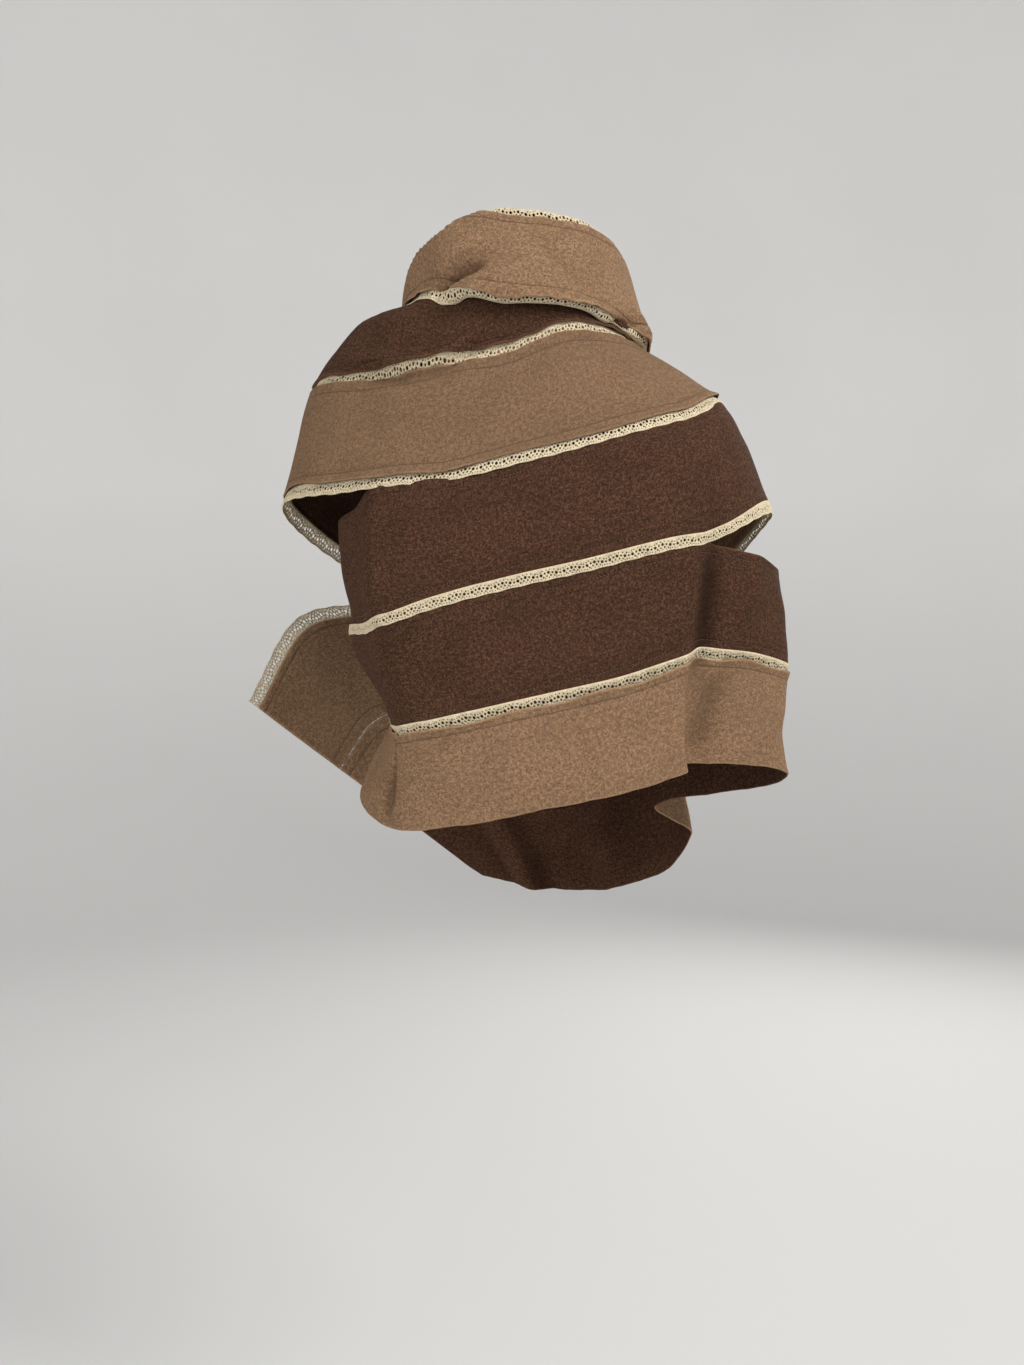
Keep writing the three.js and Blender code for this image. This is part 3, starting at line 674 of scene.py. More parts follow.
# over_top, over_bottom: how far the lace lies outside the middle of the felt at each edge. It
# goes over brown felt and under camel felt. picots: the edge that is scalloped.
LaceBand = namedtuple("LaceBand", "name node surface edges over_top over_bottom picots first "
                                  "carried_by")
LACE_OVER = 1.55
LACE_UNDER = -1.6
LACE_BANDS = [
    LaceBand("lace_band_neck", "lace_neck", YOKE,
             yoke_edges(lambda m: (m["neck_edge"] + SEAM_GAP, m["top"] - SEAM_GAP)),
             LACE_OVER, LACE_UNDER, "bottom", None, ("felt_cowl_strip",)),
    LaceBand("lace_band_cowl", "lace_cowl", YOKE,
             yoke_edges(lambda m: (m["cowl"] + SEAM_GAP, m["under"] - SEAM_GAP)),
             LACE_UNDER, LACE_OVER, "bottom", None, ("felt_cowl_strip",)),
    LaceBand("lace_band_shoulder", "lace_shoulder", YOKE,
             yoke_edges(lambda m: (m["shoulder"] + SEAM_GAP, m["shoulder"] + SEAM_GAP + LACE_WIDTH)),
             LACE_UNDER, LACE_UNDER, "bottom", None, ("felt_shoulder_strip",)),
    LaceBand("lace_band_yoke", "lace_yoke", YOKE,
             yoke_edges(lambda m: (m["hem"] + SEAM_GAP, m["end"] - SEAM_GAP)),
             LACE_UNDER, LACE_OVER, "bottom", None, ("felt_yoke_strip",)),
    LaceBand("lace_band_slit", "lace_slit", WRAP,
             wrap_edges(lambda s: (s["upper"] + SEAM_GAP, s["upper"] + SEAM_GAP + LACE_WIDTH)),
             LACE_OVER, LACE_OVER, "bottom", None, ("felt_upper_strip",)),
    LaceBand("lace_band_hem", "lace_hem", WRAP,
             wrap_edges(lambda s: (s["middle_edge"] + SEAM_GAP, s["hem"] - SEAM_GAP)),
             LACE_OVER, LACE_UNDER, "bottom", None, ("felt_middle_strip",)),
    LaceBand("lace_band_front_edge", "lace_front_edge", WRAP,
             wrap_edges(lambda s: (-2 * SEAM_GAP - FREE_LACE_WIDTH, -2 * SEAM_GAP + 0 * s["whole"])),
             LACE_OVER, LACE_OVER, "top", FRONT_EDGE_LACE_START, ("felt_upper_strip",)),
]

# One repeat of the lace: its eyelets, with its sewn edge at 0. tall: how much longer an eyelet is
# across the lace than along it.
Eyelet = namedtuple("Eyelet", "along across radius tall")
LACE_REPEAT = 20.0
LACE_TILE_WIDTH = 12.0
LACE_EDGE = 1.4
EYELETS = [
    Eyelet(1.7, 5.9, 1.3, 1.05), Eyelet(5.0, 4.8, 0.9, 1.1), Eyelet(8.3, 4.4, 1.3, 1.05),
    Eyelet(11.7, 4.8, 0.9, 1.1), Eyelet(15.0, 5.8, 1.3, 1.05), Eyelet(18.3, 6.3, 0.85, 1.1),
    Eyelet(3.6, 8.0, 0.75, 1.1), Eyelet(6.6, 7.1, 0.72, 1.1), Eyelet(10.0, 6.9, 0.82, 1.1),
    Eyelet(13.2, 7.7, 0.68, 1.1), Eyelet(16.7, 8.6, 0.5, 1), Eyelet(1.3, 9.1, 0.45, 1),
    Eyelet(3.3, 2.7, 0.6, 1), Eyelet(6.7, 2.2, 0.55, 1), Eyelet(10.0, 2.1, 0.55, 1),
    Eyelet(13.4, 2.6, 0.6, 1), Eyelet(16.7, 3.7, 0.66, 1.2), Eyelet(1.3, 3.4, 0.58, 1),
    Eyelet(18.8, 4.0, 0.5, 1), Eyelet(5.0, 9.0, 0.5, 1), Eyelet(8.3, 8.7, 0.5, 1),
    Eyelet(11.6, 8.9, 0.5, 1), Eyelet(14.7, 9.0, 0.5, 1), Eyelet(18.8, 8.8, 0.5, 1),
]
EYELET_SIDES = 7
PICOT = 0.3
# Where the lace is broader or puffs out. middle, half: where along its band and how far to each
# side. wider, lift: how much further its lower edge reaches and how far it stands out.
LaceSwell = namedtuple("LaceSwell", "band middle half wider lift")
LACE_SWELLS = [
    LaceSwell("lace_band_cowl", 327, 15, 6.5, 3.0),
    LaceSwell("lace_band_cowl", 52, 12, 3.0, 2.0),
    LaceSwell("lace_band_yoke", 250, 64, 3.0, 0.6),
    LaceSwell("lace_band_slit", 11.4, 1.9, 2.6, 0.4),
    LaceSwell("lace_band_front_edge", 21.5, 1.8, 0.0, 0.8),
]
# How far the lace goes on past its edges: under camel felt, and over brown.
LACE_HIDDEN = 2.0
LACE_SHOWN = 0.6


def lace_overlaps(band):
    """How far a band of lace goes on past its top and its bottom edge."""
    return [LACE_HIDDEN if over < 0 else LACE_SHOWN for over in (band.over_top, band.over_bottom)]


# ---- Meshes ----

def make_piece(name, points, faces, loop_uv, material_of, materials, masks=None):
    """A new object with its place in its mesh, its cloth coordinates and its materials."""
    mesh = bpy.data.meshes.new(name)
    mesh.from_pydata((points * MM).tolist(), [], [face.tolist() for face in faces])
    layer = mesh.uv_layers.new(name="cloth")
    layer.data.foreach_set("uv", (loop_uv * MM).astype(np.float32).ravel())
    for label, values in (masks or {}).items():
        drawn = mesh.attributes.new(label, "FLOAT", "POINT")
        drawn.data.foreach_set("value", values.astype(np.float32).ravel())
    for material in materials:
        mesh.materials.append(material)
    mesh.polygons.foreach_set("material_index", np.asarray(material_of, np.int32))
    mesh.polygons.foreach_set("use_smooth", np.ones(len(mesh.polygons), bool))
    mesh.update()
    if mesh.validate(clean_customdata=False):
        raise RuntimeError(f"{name}: its mesh has faces that can't stand")
    piece = bpy.data.objects.new(name, mesh)
    bpy.context.scene.collection.objects.link(piece)
    return piece


NEAR_EDGE = (0.0, 0.25, 0.7, 1.3, 2.4)
NEAR_STITCHES = (-1.3, -0.65, 0.0, 0.65, 1.3)
LAP_SHARES = (1.0, 0.97, 0.9, 0.75, 0.5, 0.25)
# A row of stitches: how wide its groove is, and the share of half the cloth that it presses in.
GROOVE_WIDTH = 0.75
GROOVE_PRESS = 0.42
# How thin the cloth gets at its rounded edges (as a square) and at a strip's open ends.
THINNEST_EDGE = 0.09
THINNEST_END = 0.45


def strip_rows(width, strip, top_reach, bottom_reach):
    """Distances down from a strip's top seam, closer together at its edges and stitches."""
    def edge_rows(lines, lap):
        rows = {0.0, NEAR_EDGE[-1]} if lap.reach else set(NEAR_EDGE)
        rows.update(line + near for line in lines for near in NEAR_STITCHES)
        return np.array(sorted(rows))

    top = edge_rows(strip.top_stitches, strip.top_lap)
    bottom = edge_rows(strip.bottom_stitches, strip.bottom_lap)
    room = width - top[-1] - bottom[-1]
    if room.min() <= 0:
        raise RuntimeError("a strip is too narrow for its stitches")
    inner = np.linspace(0, 1, max(int(round(room.mean() / ROW_STEP)), 2) + 1)[1:-1]
    whole = width[:, None]
    parts = [0 * whole + top, top[-1] + inner * room[:, None], whole - bottom[::-1]]
    shares = np.array(LAP_SHARES)
    if strip.top_lap.reach:
        parts.insert(0, -top_reach[:, None] * shares)
    if strip.bottom_lap.reach:
        parts.append(whole + bottom_reach[:, None] * shares[::-1])
    return np.concatenate(parts, axis=1)


def grid_facing(points, closed):
    """The directions that face outward on a grid of places, from its own neighbours."""
    if closed:
        ahead = np.roll(points, -1, axis=0) - np.roll(points, 1, axis=0)
    else:
        ahead = np.gradient(points, axis=0)
    return unit(np.cross(np.gradient(points, axis=1), ahead))


def shell_faces(columns, rows, closed):
    """Faces of a closed shell about a grid, and for each whether it is outer, inner or rim."""
    spans = columns if closed else columns - 1
    i, j = np.meshgrid(np.arange(spans), np.arange(rows - 1), indexing="ij")
    i, j = i.ravel(), j.ravel()
    right = (i + 1) % columns
    layer = columns * rows

    def at(column, row, inner):
        return column * rows + row + layer * inner

    outer = np.stack([at(i, j, 0), at(i, j + 1, 0), at(right, j + 1, 0), at(right, j, 0)], 1)
    inner = np.stack([at(i, j, 1), at(right, j, 1), at(right, j + 1, 1), at(i, j + 1, 1)], 1)
    c = np.arange(spans)
    d = (c + 1) % columns
    foot = rows - 1
    rims = [np.stack([at(c, 0, 0), at(d, 0, 0), at(d, 0, 1), at(c, 0, 1)], 1),
            np.stack([at(c, foot, 0), at(c, foot, 1), at(d, foot, 1), at(d, foot, 0)], 1)]
    if not closed:
        r = np.arange(rows - 1)
        last = columns - 1
        rims.append(np.stack([at(0, r, 0), at(0, r, 1), at(0, r + 1, 1), at(0, r + 1, 0)], 1))
        rims.append(np.stack(
            [at(last, r, 0), at(last, r + 1, 0), at(last, r + 1, 1), at(last, r, 1)], 1))
    rim = np.concatenate(rims)
    kinds = np.concatenate([np.zeros(len(outer)), np.ones(len(inner)), np.zeros(len(rim))])
    return np.concatenate([outer, inner, rim]), kinds.astype(int)


def corner_coordinates(coordinates, faces, total):
    """Cloth coordinates for each face's corners; a face across the first column isn't stretched."""
    corners = coordinates[faces]
    along = corners[..., 0]
    wraps = (along.max(1) - along.min(1)) > total / 2
    along[wraps] += np.where(along[wraps] < total / 2, total, 0.0)
    corners[..., 0] = along
    return corners.reshape(-1, 2)


def pressed_lines(down, lines):
    """1 along each row of stitches, fading to 0 beside it."""
    return sum((np.exp(-((down - line) / GROOVE_WIDTH) ** 2) for line in lines), 0 * down)


def loosen_edges(strip, run, along, lengths, from_edges, past_seams, down, lift):
    """Makes a strip's edges uneven, curls them up and sinks their laps, in the given arrays."""
    seed = FELT_SEED + FELT_STRIPS.index(strip) * SEEDS_PER_STRIP
    around = run.total if strip.surface.closed else None
    for side, lap in enumerate((strip.top_lap, strip.bottom_lap)):
        uneven = soft_waves(seed + side, lengths, 0.0, EDGE_WAVES, around)[:, None]
        down += lap.wave * uneven * np.exp(-from_edges[side] / WAVE_FADE)
        curled = soft_waves(seed + 2 + side, lengths, 0.0, EDGE_WAVES, around)
        stand = lap.curl * (1 + CURL_UNEVENNESS * curled)
        lift += stand[:, None] * np.exp(-from_edges[side] / CURL_FADE)
        tucked = lap.sink * lap.sewn(along)[:, None]
        lift -= tucked * smooth_between(past_seams[side], *CROSSES)


def cut_felt(strip, felt, materials):
    """Drapes one strip of felt as a closed shell."""
    run = Run(strip.surface, strip.edges, cut=cut_edges(strip))
    closed = strip.surface.closed
    count = int(round(run.total / COLUMN_STEP))
    lengths = np.arange(count) * run.total / count if closed else np.linspace(0, run.total, count)
    along = run.at(lengths)
    top, bottom = strip.edges(along)
    width = bottom - top
    reaches = [lap_reach(lap, along) for lap in (strip.top_lap, strip.bottom_lap)]
    rows = strip_rows(width, strip, *reaches)
    from_edges = (rows + reaches[0][:, None], width[:, None] + reaches[1][:, None] - rows)
    past_seams = (-rows / np.maximum(reaches[0], LEAST_REACH)[:, None],
                  (rows - width[:, None]) / np.maximum(reaches[1], LEAST_REACH)[:, None])
    down, lift = top[:, None] + rows, 0 * rows
    loosen_edges(strip, run, along, lengths, from_edges, past_seams, down, lift)
    middle, _ = strip.surface.spots(along[:, None], down, lift)
    facing = grid_facing(middle, closed)
    half_cloth = felt.thickness / MM / 2
    lines = [line + 0 * width[:, None] for line in strip.top_stitches]
    lines += [width[:, None] - line for line in strip.bottom_stitches]
    pressed = pressed_lines(rows, lines)
    near = np.minimum(*from_edges)
    rounded = np.sqrt(np.clip(1 - (1 - np.clip(near / half_cloth, 0, 1)) ** 2, THINNEST_EDGE, 1))
    half = half_cloth * (rounded - GROOVE_PRESS * pressed)
    if not closed:
        half[[0, -1]] *= THINNEST_END
        near = np.minimum(near, np.minimum(lengths, run.total - lengths)[:, None])
    points = np.concatenate([(middle + facing * half[..., None]).reshape(-1, 3),
                             (middle - facing * half[..., None]).reshape(-1, 3)])
    faces, kinds = shell_faces(*rows.shape, closed)
    cloth = np.stack(np.broadcast_arrays(lengths[:, None], rows), -1).reshape(-1, 2)
    spread_along = np.broadcast_to(along[:, None], down.shape)
    sunk = strip.surface.sunk_of(spread_along.ravel(), down.ravel())
    # Its masks: the raw edges, and the painted shade in stitch grooves, in creases and on darker
    # strips.
    piece = make_piece(
        strip.name, points, faces,
        corner_coordinates(np.tile(cloth, (2, 1)), faces, run.total if closed else math.inf),
        kinds, materials,
        {"raw_edge": np.tile(near.ravel(), 2) * MM, "stitch_line": np.tile(pressed.ravel(), 2),
         "crease": np.concatenate([sunk, -sunk]),
         "tone": np.full(len(points), STRIP_PAINTED_SHADE.get(strip.node, 0.0))})
    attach(piece, "root")
    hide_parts(strip.node)
    return piece, run


# ---- Lace ----

# How the flat tile is divided: steps along its edges and up its sides, and the net between the
# eyelets, with where that starts, how far from the far edges it stops and how clear of eyelets.
LACE_STEPS = 14
LACE_SIDE_STEPS = 7
NET_STEP = 1.45
NET_START = (1.2, 1.3)
NET_STOP = (0.8, 1.9)
NET_CLEARANCE = 0.55
INSIDE_OUTLINE = -0.02
BORDER_TOLERANCE = 1e-4
# How much thicker the lace is round its eyelets, at its sewn edge and at its picots.
EYELET_RIM = 0.07
SEWN_RIM = 0.05
PICOT_RIM = 0.08
PICOT_SHIFT = 0.2
LOOPS_PER_REPEAT = 6
LOOP_HEIGHT = 0.16
LACE_UNEVENNESS = 0.15


def in_eyelet(x, y, spare):
    """Whether a place lies within an eyelet's outline grown by spare."""
    return any(math.hypot((x - hole.along) / (hole.radius + spare),
                          (y - hole.across) / (hole.radius * hole.tall + spare)) < 1
               for hole in EYELETS)


def picot_edge():
    """How far across the scalloped edge lies at each step of one repeat, both ends included."""
    reach = [LACE_TILE_WIDTH - LACE_EDGE
             + PICOT * math.cos(2 * math.pi * (k / LACE_STEPS - PICOT_SHIFT))
             + LOOP_HEIGHT * math.cos(2 * math.pi * LOOPS_PER_REPEAT * k / LACE_STEPS)
             for k in range(LACE_STEPS)]
    return [*reach, reach[0]]


def lace_tile():
    """One repeat of the lace as a flat mesh: points, triangles and how far each is raised."""
    points, raised, edges = [], [], []

    def add(x, y, height=0.0):
        points.append((x, y))
        raised.append(height)

    for eyelet in EYELETS:
        first = len(points)
        for k in range(EYELET_SIDES):
            turn = 2 * math.pi * (k + 0.5) / EYELET_SIDES
            add(eyelet.along + eyelet.radius * math.cos(turn),
                eyelet.across + eyelet.radius * eyelet.tall * math.sin(turn), EYELET_RIM)
        edges += [(first + k, first + (k + 1) % EYELET_SIDES) for k in range(EYELET_SIDES)]
    scallop = picot_edge()
    sewn = len(points)
    for k in range(LACE_STEPS + 1):
        add(LACE_REPEAT * k / LACE_STEPS, 0.0, SEWN_RIM)
    picots = len(points)
    for k in range(LACE_STEPS + 1):
        add(LACE_REPEAT * k / LACE_STEPS, scallop[k], PICOT_RIM)
    for first in (sewn, picots):
        edges += [(first + k, first + k + 1) for k in range(LACE_STEPS)]
    for k in range(1, LACE_SIDE_STEPS):
        for x in (0.0, LACE_REPEAT):
            add(x, scallop[0] * k / LACE_SIDE_STEPS)
    for y in np.arange(NET_START[1], LACE_TILE_WIDTH - NET_STOP[1], NET_STEP):
        for x in np.arange(NET_START[0], LACE_REPEAT - NET_STOP[0], NET_STEP):
            if not in_eyelet(x, y, NET_CLEARANCE):
                add(x, y)
    places = [tuple(map(float, point)) for point in points]
    spots, _, found, origins, *_ = delaunay_2d_cdt(places, edges, [], 0, TINY_LENGTH)
    flat = np.array([tuple(spot) for spot in spots])
    height = np.array([raised[origin[0]] if origin else 0.0 for origin in origins])
    triangles = []
    for triangle in found:
        x, y = flat[list(triangle)].mean(axis=0)
        edge = np.interp(x / LACE_REPEAT * LACE_STEPS, np.arange(LACE_STEPS + 1), scallop)
        if not in_eyelet(x, y, INSIDE_OUTLINE) and y < edge:
            triangles.append(triangle)
    return flat, np.array(triangles), height


def tile_along(flat, triangles, height, tiles, closed):
    """Repeats the flat tile end to end, each sharing its border with the next."""
    left = np.flatnonzero(flat[:, 0] < BORDER_TOLERANCE)
    right = np.flatnonzero(flat[:, 0] > LACE_REPEAT - BORDER_TOLERANCE)
    left, right = left[np.argsort(flat[left, 1])], right[np.argsort(flat[right, 1])]
    count = len(flat)
    own = np.setdiff1d(np.arange(count), right)
    number = np.full(count, -1)
    number[own] = np.arange(len(own))
    index = []
    for k in range(tiles):
        table = number + k * len(own)
        table[right] = number[left] + ((k + 1) % tiles if closed else k + 1) * len(own)
        index.append(table)
    points = np.concatenate([flat[own] + [k * LACE_REPEAT, 0] for k in range(tiles)])
    raised = np.tile(height[own], tiles)
    if not closed:
        extra = flat[left] + [tiles * LACE_REPEAT, 0]
        spare = len(points)
        index[-1][right] = spare + np.arange(len(extra))
        points = np.concatenate([points, extra])
        raised = np.concatenate([raised, height[left]])
    faces = np.concatenate([table[triangles] for table in index])
    return points, faces, raised


def lace_shell(faces, count):
    """Two layers of the flat mesh and the walls along its edges and round its eyelets."""
    outer, inner = faces[:, ::-1], faces + count
    sides = np.concatenate([outer[:, [0, 1]], outer[:, [1, 2]], outer[:, [2, 0]]])
    key = np.sort(sides, axis=1)
    _, back, uses = np.unique(key, axis=0, return_inverse=True, return_counts=True)
    open_sides = sides[uses[back.ravel()] == 1]
    a, b = open_sides[:, 0], open_sides[:, 1]
    walls = np.concatenate([np.stack([b, a, a + count], 1), np.stack([b, a + count, b + count], 1)])
    return np.concatenate([outer, inner, walls])


def make_lace(band, lace, material, tile):
    """Lays one band of lace between its strips, tucked under camel felt and over brown felt."""
    run = Run(band.surface, band.edges, band.first)
    closed = band.surface.closed
    tiles = int(round(run.total / lace.repeat * MM))
    flat, faces, raised = tile_along(*tile, tiles, closed)
    lengths = flat[:, 0] * run.total / (tiles * LACE_REPEAT)
    across = flat[:, 1] / (LACE_TILE_WIDTH - LACE_EDGE)
    along = run.at(np.clip(lengths, 0, run.total))
    top, bottom = band.edges(along)
    over_top, over_bottom = lace_overlaps(band)
    top, bottom = top - over_top, bottom + over_bottom
    if band.picots == "top":
        top, bottom = bottom + 2 * LACE_SHOWN, top + LACE_SHOWN
        faces = faces[:, ::-1]
    down = top + across * (bottom - top)
    lift = band.over_top + (band.over_bottom - band.over_top) * smooth_between(across, *CROSSES)
    for swell in LACE_SWELLS:
        if swell.band == band.name:
            away = along - swell.middle
            if closed:
                away = nearest_way(away, FULL_TURN)
            share = 0.5 + 0.5 * np.cos(math.pi * np.clip(away / swell.half, -1, 1))
            down = down + swell.wider * share * across
            lift = lift + swell.lift * share * np.sin(math.pi * across)
    around = run.total if closed else None
    uneven = soft_waves(LACE_SEED + LACE_BANDS.index(band), lengths, down, EDGE_WAVES, around)
    lift = lift + LACE_UNEVENNESS * uneven
    middle, facing = band.surface.spots(along, down, lift)
    half = lace.thickness / MM / 2 + raised
    points = np.concatenate([middle + facing * half[:, None], middle - facing * half[:, None]])
    faces = lace_shell(faces, len(middle))
    cloth = np.stack([lengths, flat[:, 1]], 1)
    piece = make_piece(band.name, points, faces,
                       corner_coordinates(np.concatenate([cloth, cloth]), faces,
                                          run.total if closed else math.inf),
                       np.zeros(len(faces)), [material])
    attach(piece, "root")
    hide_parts(band.node)
    return piece, run


# ---- Stitches ----

STITCH_SIDES = 5
# Each stitch, a row for each ring along it. share: how far along. rise: how far out of its
# groove. swell: how thick. Its ends go into the cloth.
StitchRing = namedtuple("StitchRing", "share rise swell")
STITCH_RINGS = [
    StitchRing(0.0, -0.35, 0.7), StitchRing(0.25, 0.14, 1.0),
    StitchRing(0.75, 0.14, 1.0), StitchRing(1.0, -0.35, 0.7),
]
# How much of each step a stitch fills, where in its step the first starts, and how far out from
# the middle of the cloth its groove lies, as a share of half the cloth.
STITCH_FILLS = 0.92
FIRST_STITCH = 0.2
GROOVE_LIES = 0.58


def stitch_meshes(surface, along, down, lift, length_places, thread):
    """Short threads, each a closed tube through the rings of a stitch."""
    middle, facing = surface.spots(along, down, lift)
    ahead = unit(middle[:, -1:] - middle[:, :1])
    side = unit(np.cross(ahead, facing))
    rise = np.cross(ahead, side)
    turns = np.arange(STITCH_SIDES) * 2 * math.pi / STITCH_SIDES
    swell = np.array([ring.swell for ring in STITCH_RINGS])[None, :, None, None]
    ring = (side[:, :, None] * np.cos(turns)[None, None, :, None]
            + rise[:, :, None] * np.sin(turns)[None, None, :, None]) * thread * swell
    points = (middle[:, :, None] + ring).reshape(-1, 3)
    stitches, rings = along.shape
    base = np.arange(stitches)[:, None] * rings * STITCH_SIDES
    quads, k = [], np.arange(STITCH_SIDES)
    for r in range(rings - 1):
        a, b = r * STITCH_SIDES + k, r * STITCH_SIDES + (k + 1) % STITCH_SIDES
        quads.append(np.stack([a, b, b + STITCH_SIDES, a + STITCH_SIDES], 1))
    quads = np.concatenate(quads)
    tubes = (base[:, :, None] + quads[None]).reshape(-1, 4)
    near = base + np.arange(STITCH_SIDES)[::-1][None]
    far = base + (rings - 1) * STITCH_SIDES + np.arange(STITCH_SIDES)[None]
    cloth = np.repeat(length_places, rings * STITCH_SIDES)
    return points, list(tubes) + list(near) + list(far), cloth


def sew_rows(strip, run, felt, stitching, material):
    """The rows of machine stitches along one strip's edges."""
    pitch = stitching.pitch / MM
    thread = stitching.thread / MM / 2
    share = np.array([ring.share for ring in STITCH_RINGS]) * STITCH_FILLS
    lift = (felt.thickness / MM / 2 * GROOVE_LIES
            + np.array([ring.rise for ring in STITCH_RINGS])[None, :])
    parts = []
    for lines, from_top in ((strip.top_stitches, True), (strip.bottom_stitches, False)):
        for line in lines:
            count = int(run.total / pitch)
            starts = (np.arange(count) + FIRST_STITCH) * run.total / count
            lengths = starts[:, None] + share[None, :] * pitch
            along = run.at(lengths)
            top, bottom = strip.edges(along.ravel())
            top, bottom = top.reshape(along.shape), bottom.reshape(along.shape)
            down = top + line if from_top else bottom - line
            parts.append(stitch_meshes(strip.surface, along, down, lift, starts, thread))
    if not parts:
        return None
    points, faces, cloth, base = [], [], [], 0
    for spots, polygons, lengths in parts:
        points.append(spots)
        faces += [polygon + base for polygon in polygons]
        cloth.append(lengths)
        base += len(spots)
    points, cloth = np.concatenate(points), np.concatenate(cloth)
    loop_uv = np.concatenate([np.stack([cloth[face], 0 * cloth[face]], 1) for face in faces])
    piece = make_piece(strip.name.replace("felt", "stitches"), points, faces, loop_uv,
                       np.zeros(len(faces)), [material])
    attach(piece, "root")
    return piece


# ---- Materials ----

# The colour sockets of a Mix node share their names with its other sockets.
MIX_FIRST, MIX_SECOND, MIX_RESULT = 6, 7, 2


def fill(node, values):
    """Sets the values of a node's own sockets."""
    for label, value in values.items():
        node.inputs[label].default_value = value
    return node


def new_material(name):
    """A new material with its nodes and its shader."""
    material = bpy.data.materials.new(name)
    material.use_nodes = True
    return material, Nodes(material.node_tree), material.node_tree.nodes["Principled BSDF"]


def node_group(name, inputs, outputs):
    """A new shader group with these sockets, and the nodes that stand for its two ends."""
    group = bpy.data.node_groups.new(name, "ShaderNodeTree")
    for label, kind, value in inputs:
        socket = group.interface.new_socket(label, in_out="INPUT", socket_type=kind)
        socket.default_value = value
    for label, kind in outputs:
        group.interface.new_socket(label, in_out="OUTPUT", socket_type=kind)
    return group, group.nodes.new("NodeGroupInput"), group.nodes.new("NodeGroupOutput")


class Nodes:
    """Short ways to add and join the nodes of one tree."""

    def __init__(self, tree):
        self.tree = tree

    def new(self, kind, **settings):
        made = self.tree.nodes.new(kind)
        for key, value in settings.items():
            setattr(made, key, value)
        return made

    def join(self, source, target):
        self.tree.links.new(source, target)

    def attribute(self, name):
        return self.new("ShaderNodeAttribute", attribute_name=name).outputs["Fac"]

    def put(self, value, socket):
        """Joins a socket to another's output, or sets its value."""
        if isinstance(value, bpy.types.NodeSocket):
            self.join(value, socket)
        else:
            socket.default_value = value

    def noise(self, vector, scale, detail=2.0, roughness=0.5, distortion=0.0):
        made = fill(self.new("ShaderNodeTexNoise"), {
            "Scale": scale, "Detail": detail, "Roughness": roughness, "Distortion": distortion})
        self.join(vector, made.inputs["Vector"])
        return made.outputs["Fac"]

    def spread(self, value, low, high, to_low=0.0, to_high=1.0):
        """Maps a value from the span low to high onto the span to_low to to_high."""
        made = fill(self.new("ShaderNodeMapRange"), {
            "From Min": low, "From Max": high, "To Min": to_low, "To Max": to_high})
        self.join(value, made.inputs["Value"])
        return made.outputs["Result"]

    def math(self, operation, first, second):
        made = self.new("ShaderNodeMath", operation=operation)
        self.put(first, made.inputs[0])
        self.put(second, made.inputs[1])
        return made.outputs[0]

    def mix(self, share, first, second):
        made = self.new("ShaderNodeMix", data_type="RGBA")
        self.put(share, made.inputs["Factor"])
        self.put(first, made.inputs[MIX_FIRST])
        self.put(second, made.inputs[MIX_SECOND])
        return made.outputs[MIX_RESULT]

    def turned(self, vector, scale, angle=0.0):
        """The same coordinates scaled and turned by an angle in degrees."""
        made = fill(self.new("ShaderNodeMapping"), {
            "Scale": scale, "Rotation": (0.0, 0.0, math.radians(angle))})
        self.join(vector, made.inputs["Vector"])
        return made.outputs["Vector"]


# The felt's colour changes, by what each follows: where it starts, where it is full, how far it
# goes there and which colour it goes to. The rows for the stitch grooves and the creases are
# painted shade. raw_edge is in metres from the edge and crease in millimetres. The others run
# from 0 to 1.
FeltLayer = namedtuple("FeltLayer", "follows start full share goes_to")
FELT_LAYERS = [
    FeltLayer("tufts", 0.56, 0.42, 0.4, "Depth"),
    FeltLayer("patches", 0.58, 0.4, 0.15, "Depth"),
    FeltLayer("raw_edge", 0.0019, 0.0, 0.6, "Fleck"),
    # Painted shade in the stitch grooves.
    FeltLayer("stitch_line", 0.3, 1.0, 0.9, "Depth"),
    FeltLayer("crease", 2.5, 10.0, 0.75, "Depth"),
]
# The curled fibres, a row for each way they lie: their scale and their angle.
FIBRE_LAYS = (((460.0, 760.0, 1.0), 28.0), ((800.0, 500.0, 1.0), -37.0))


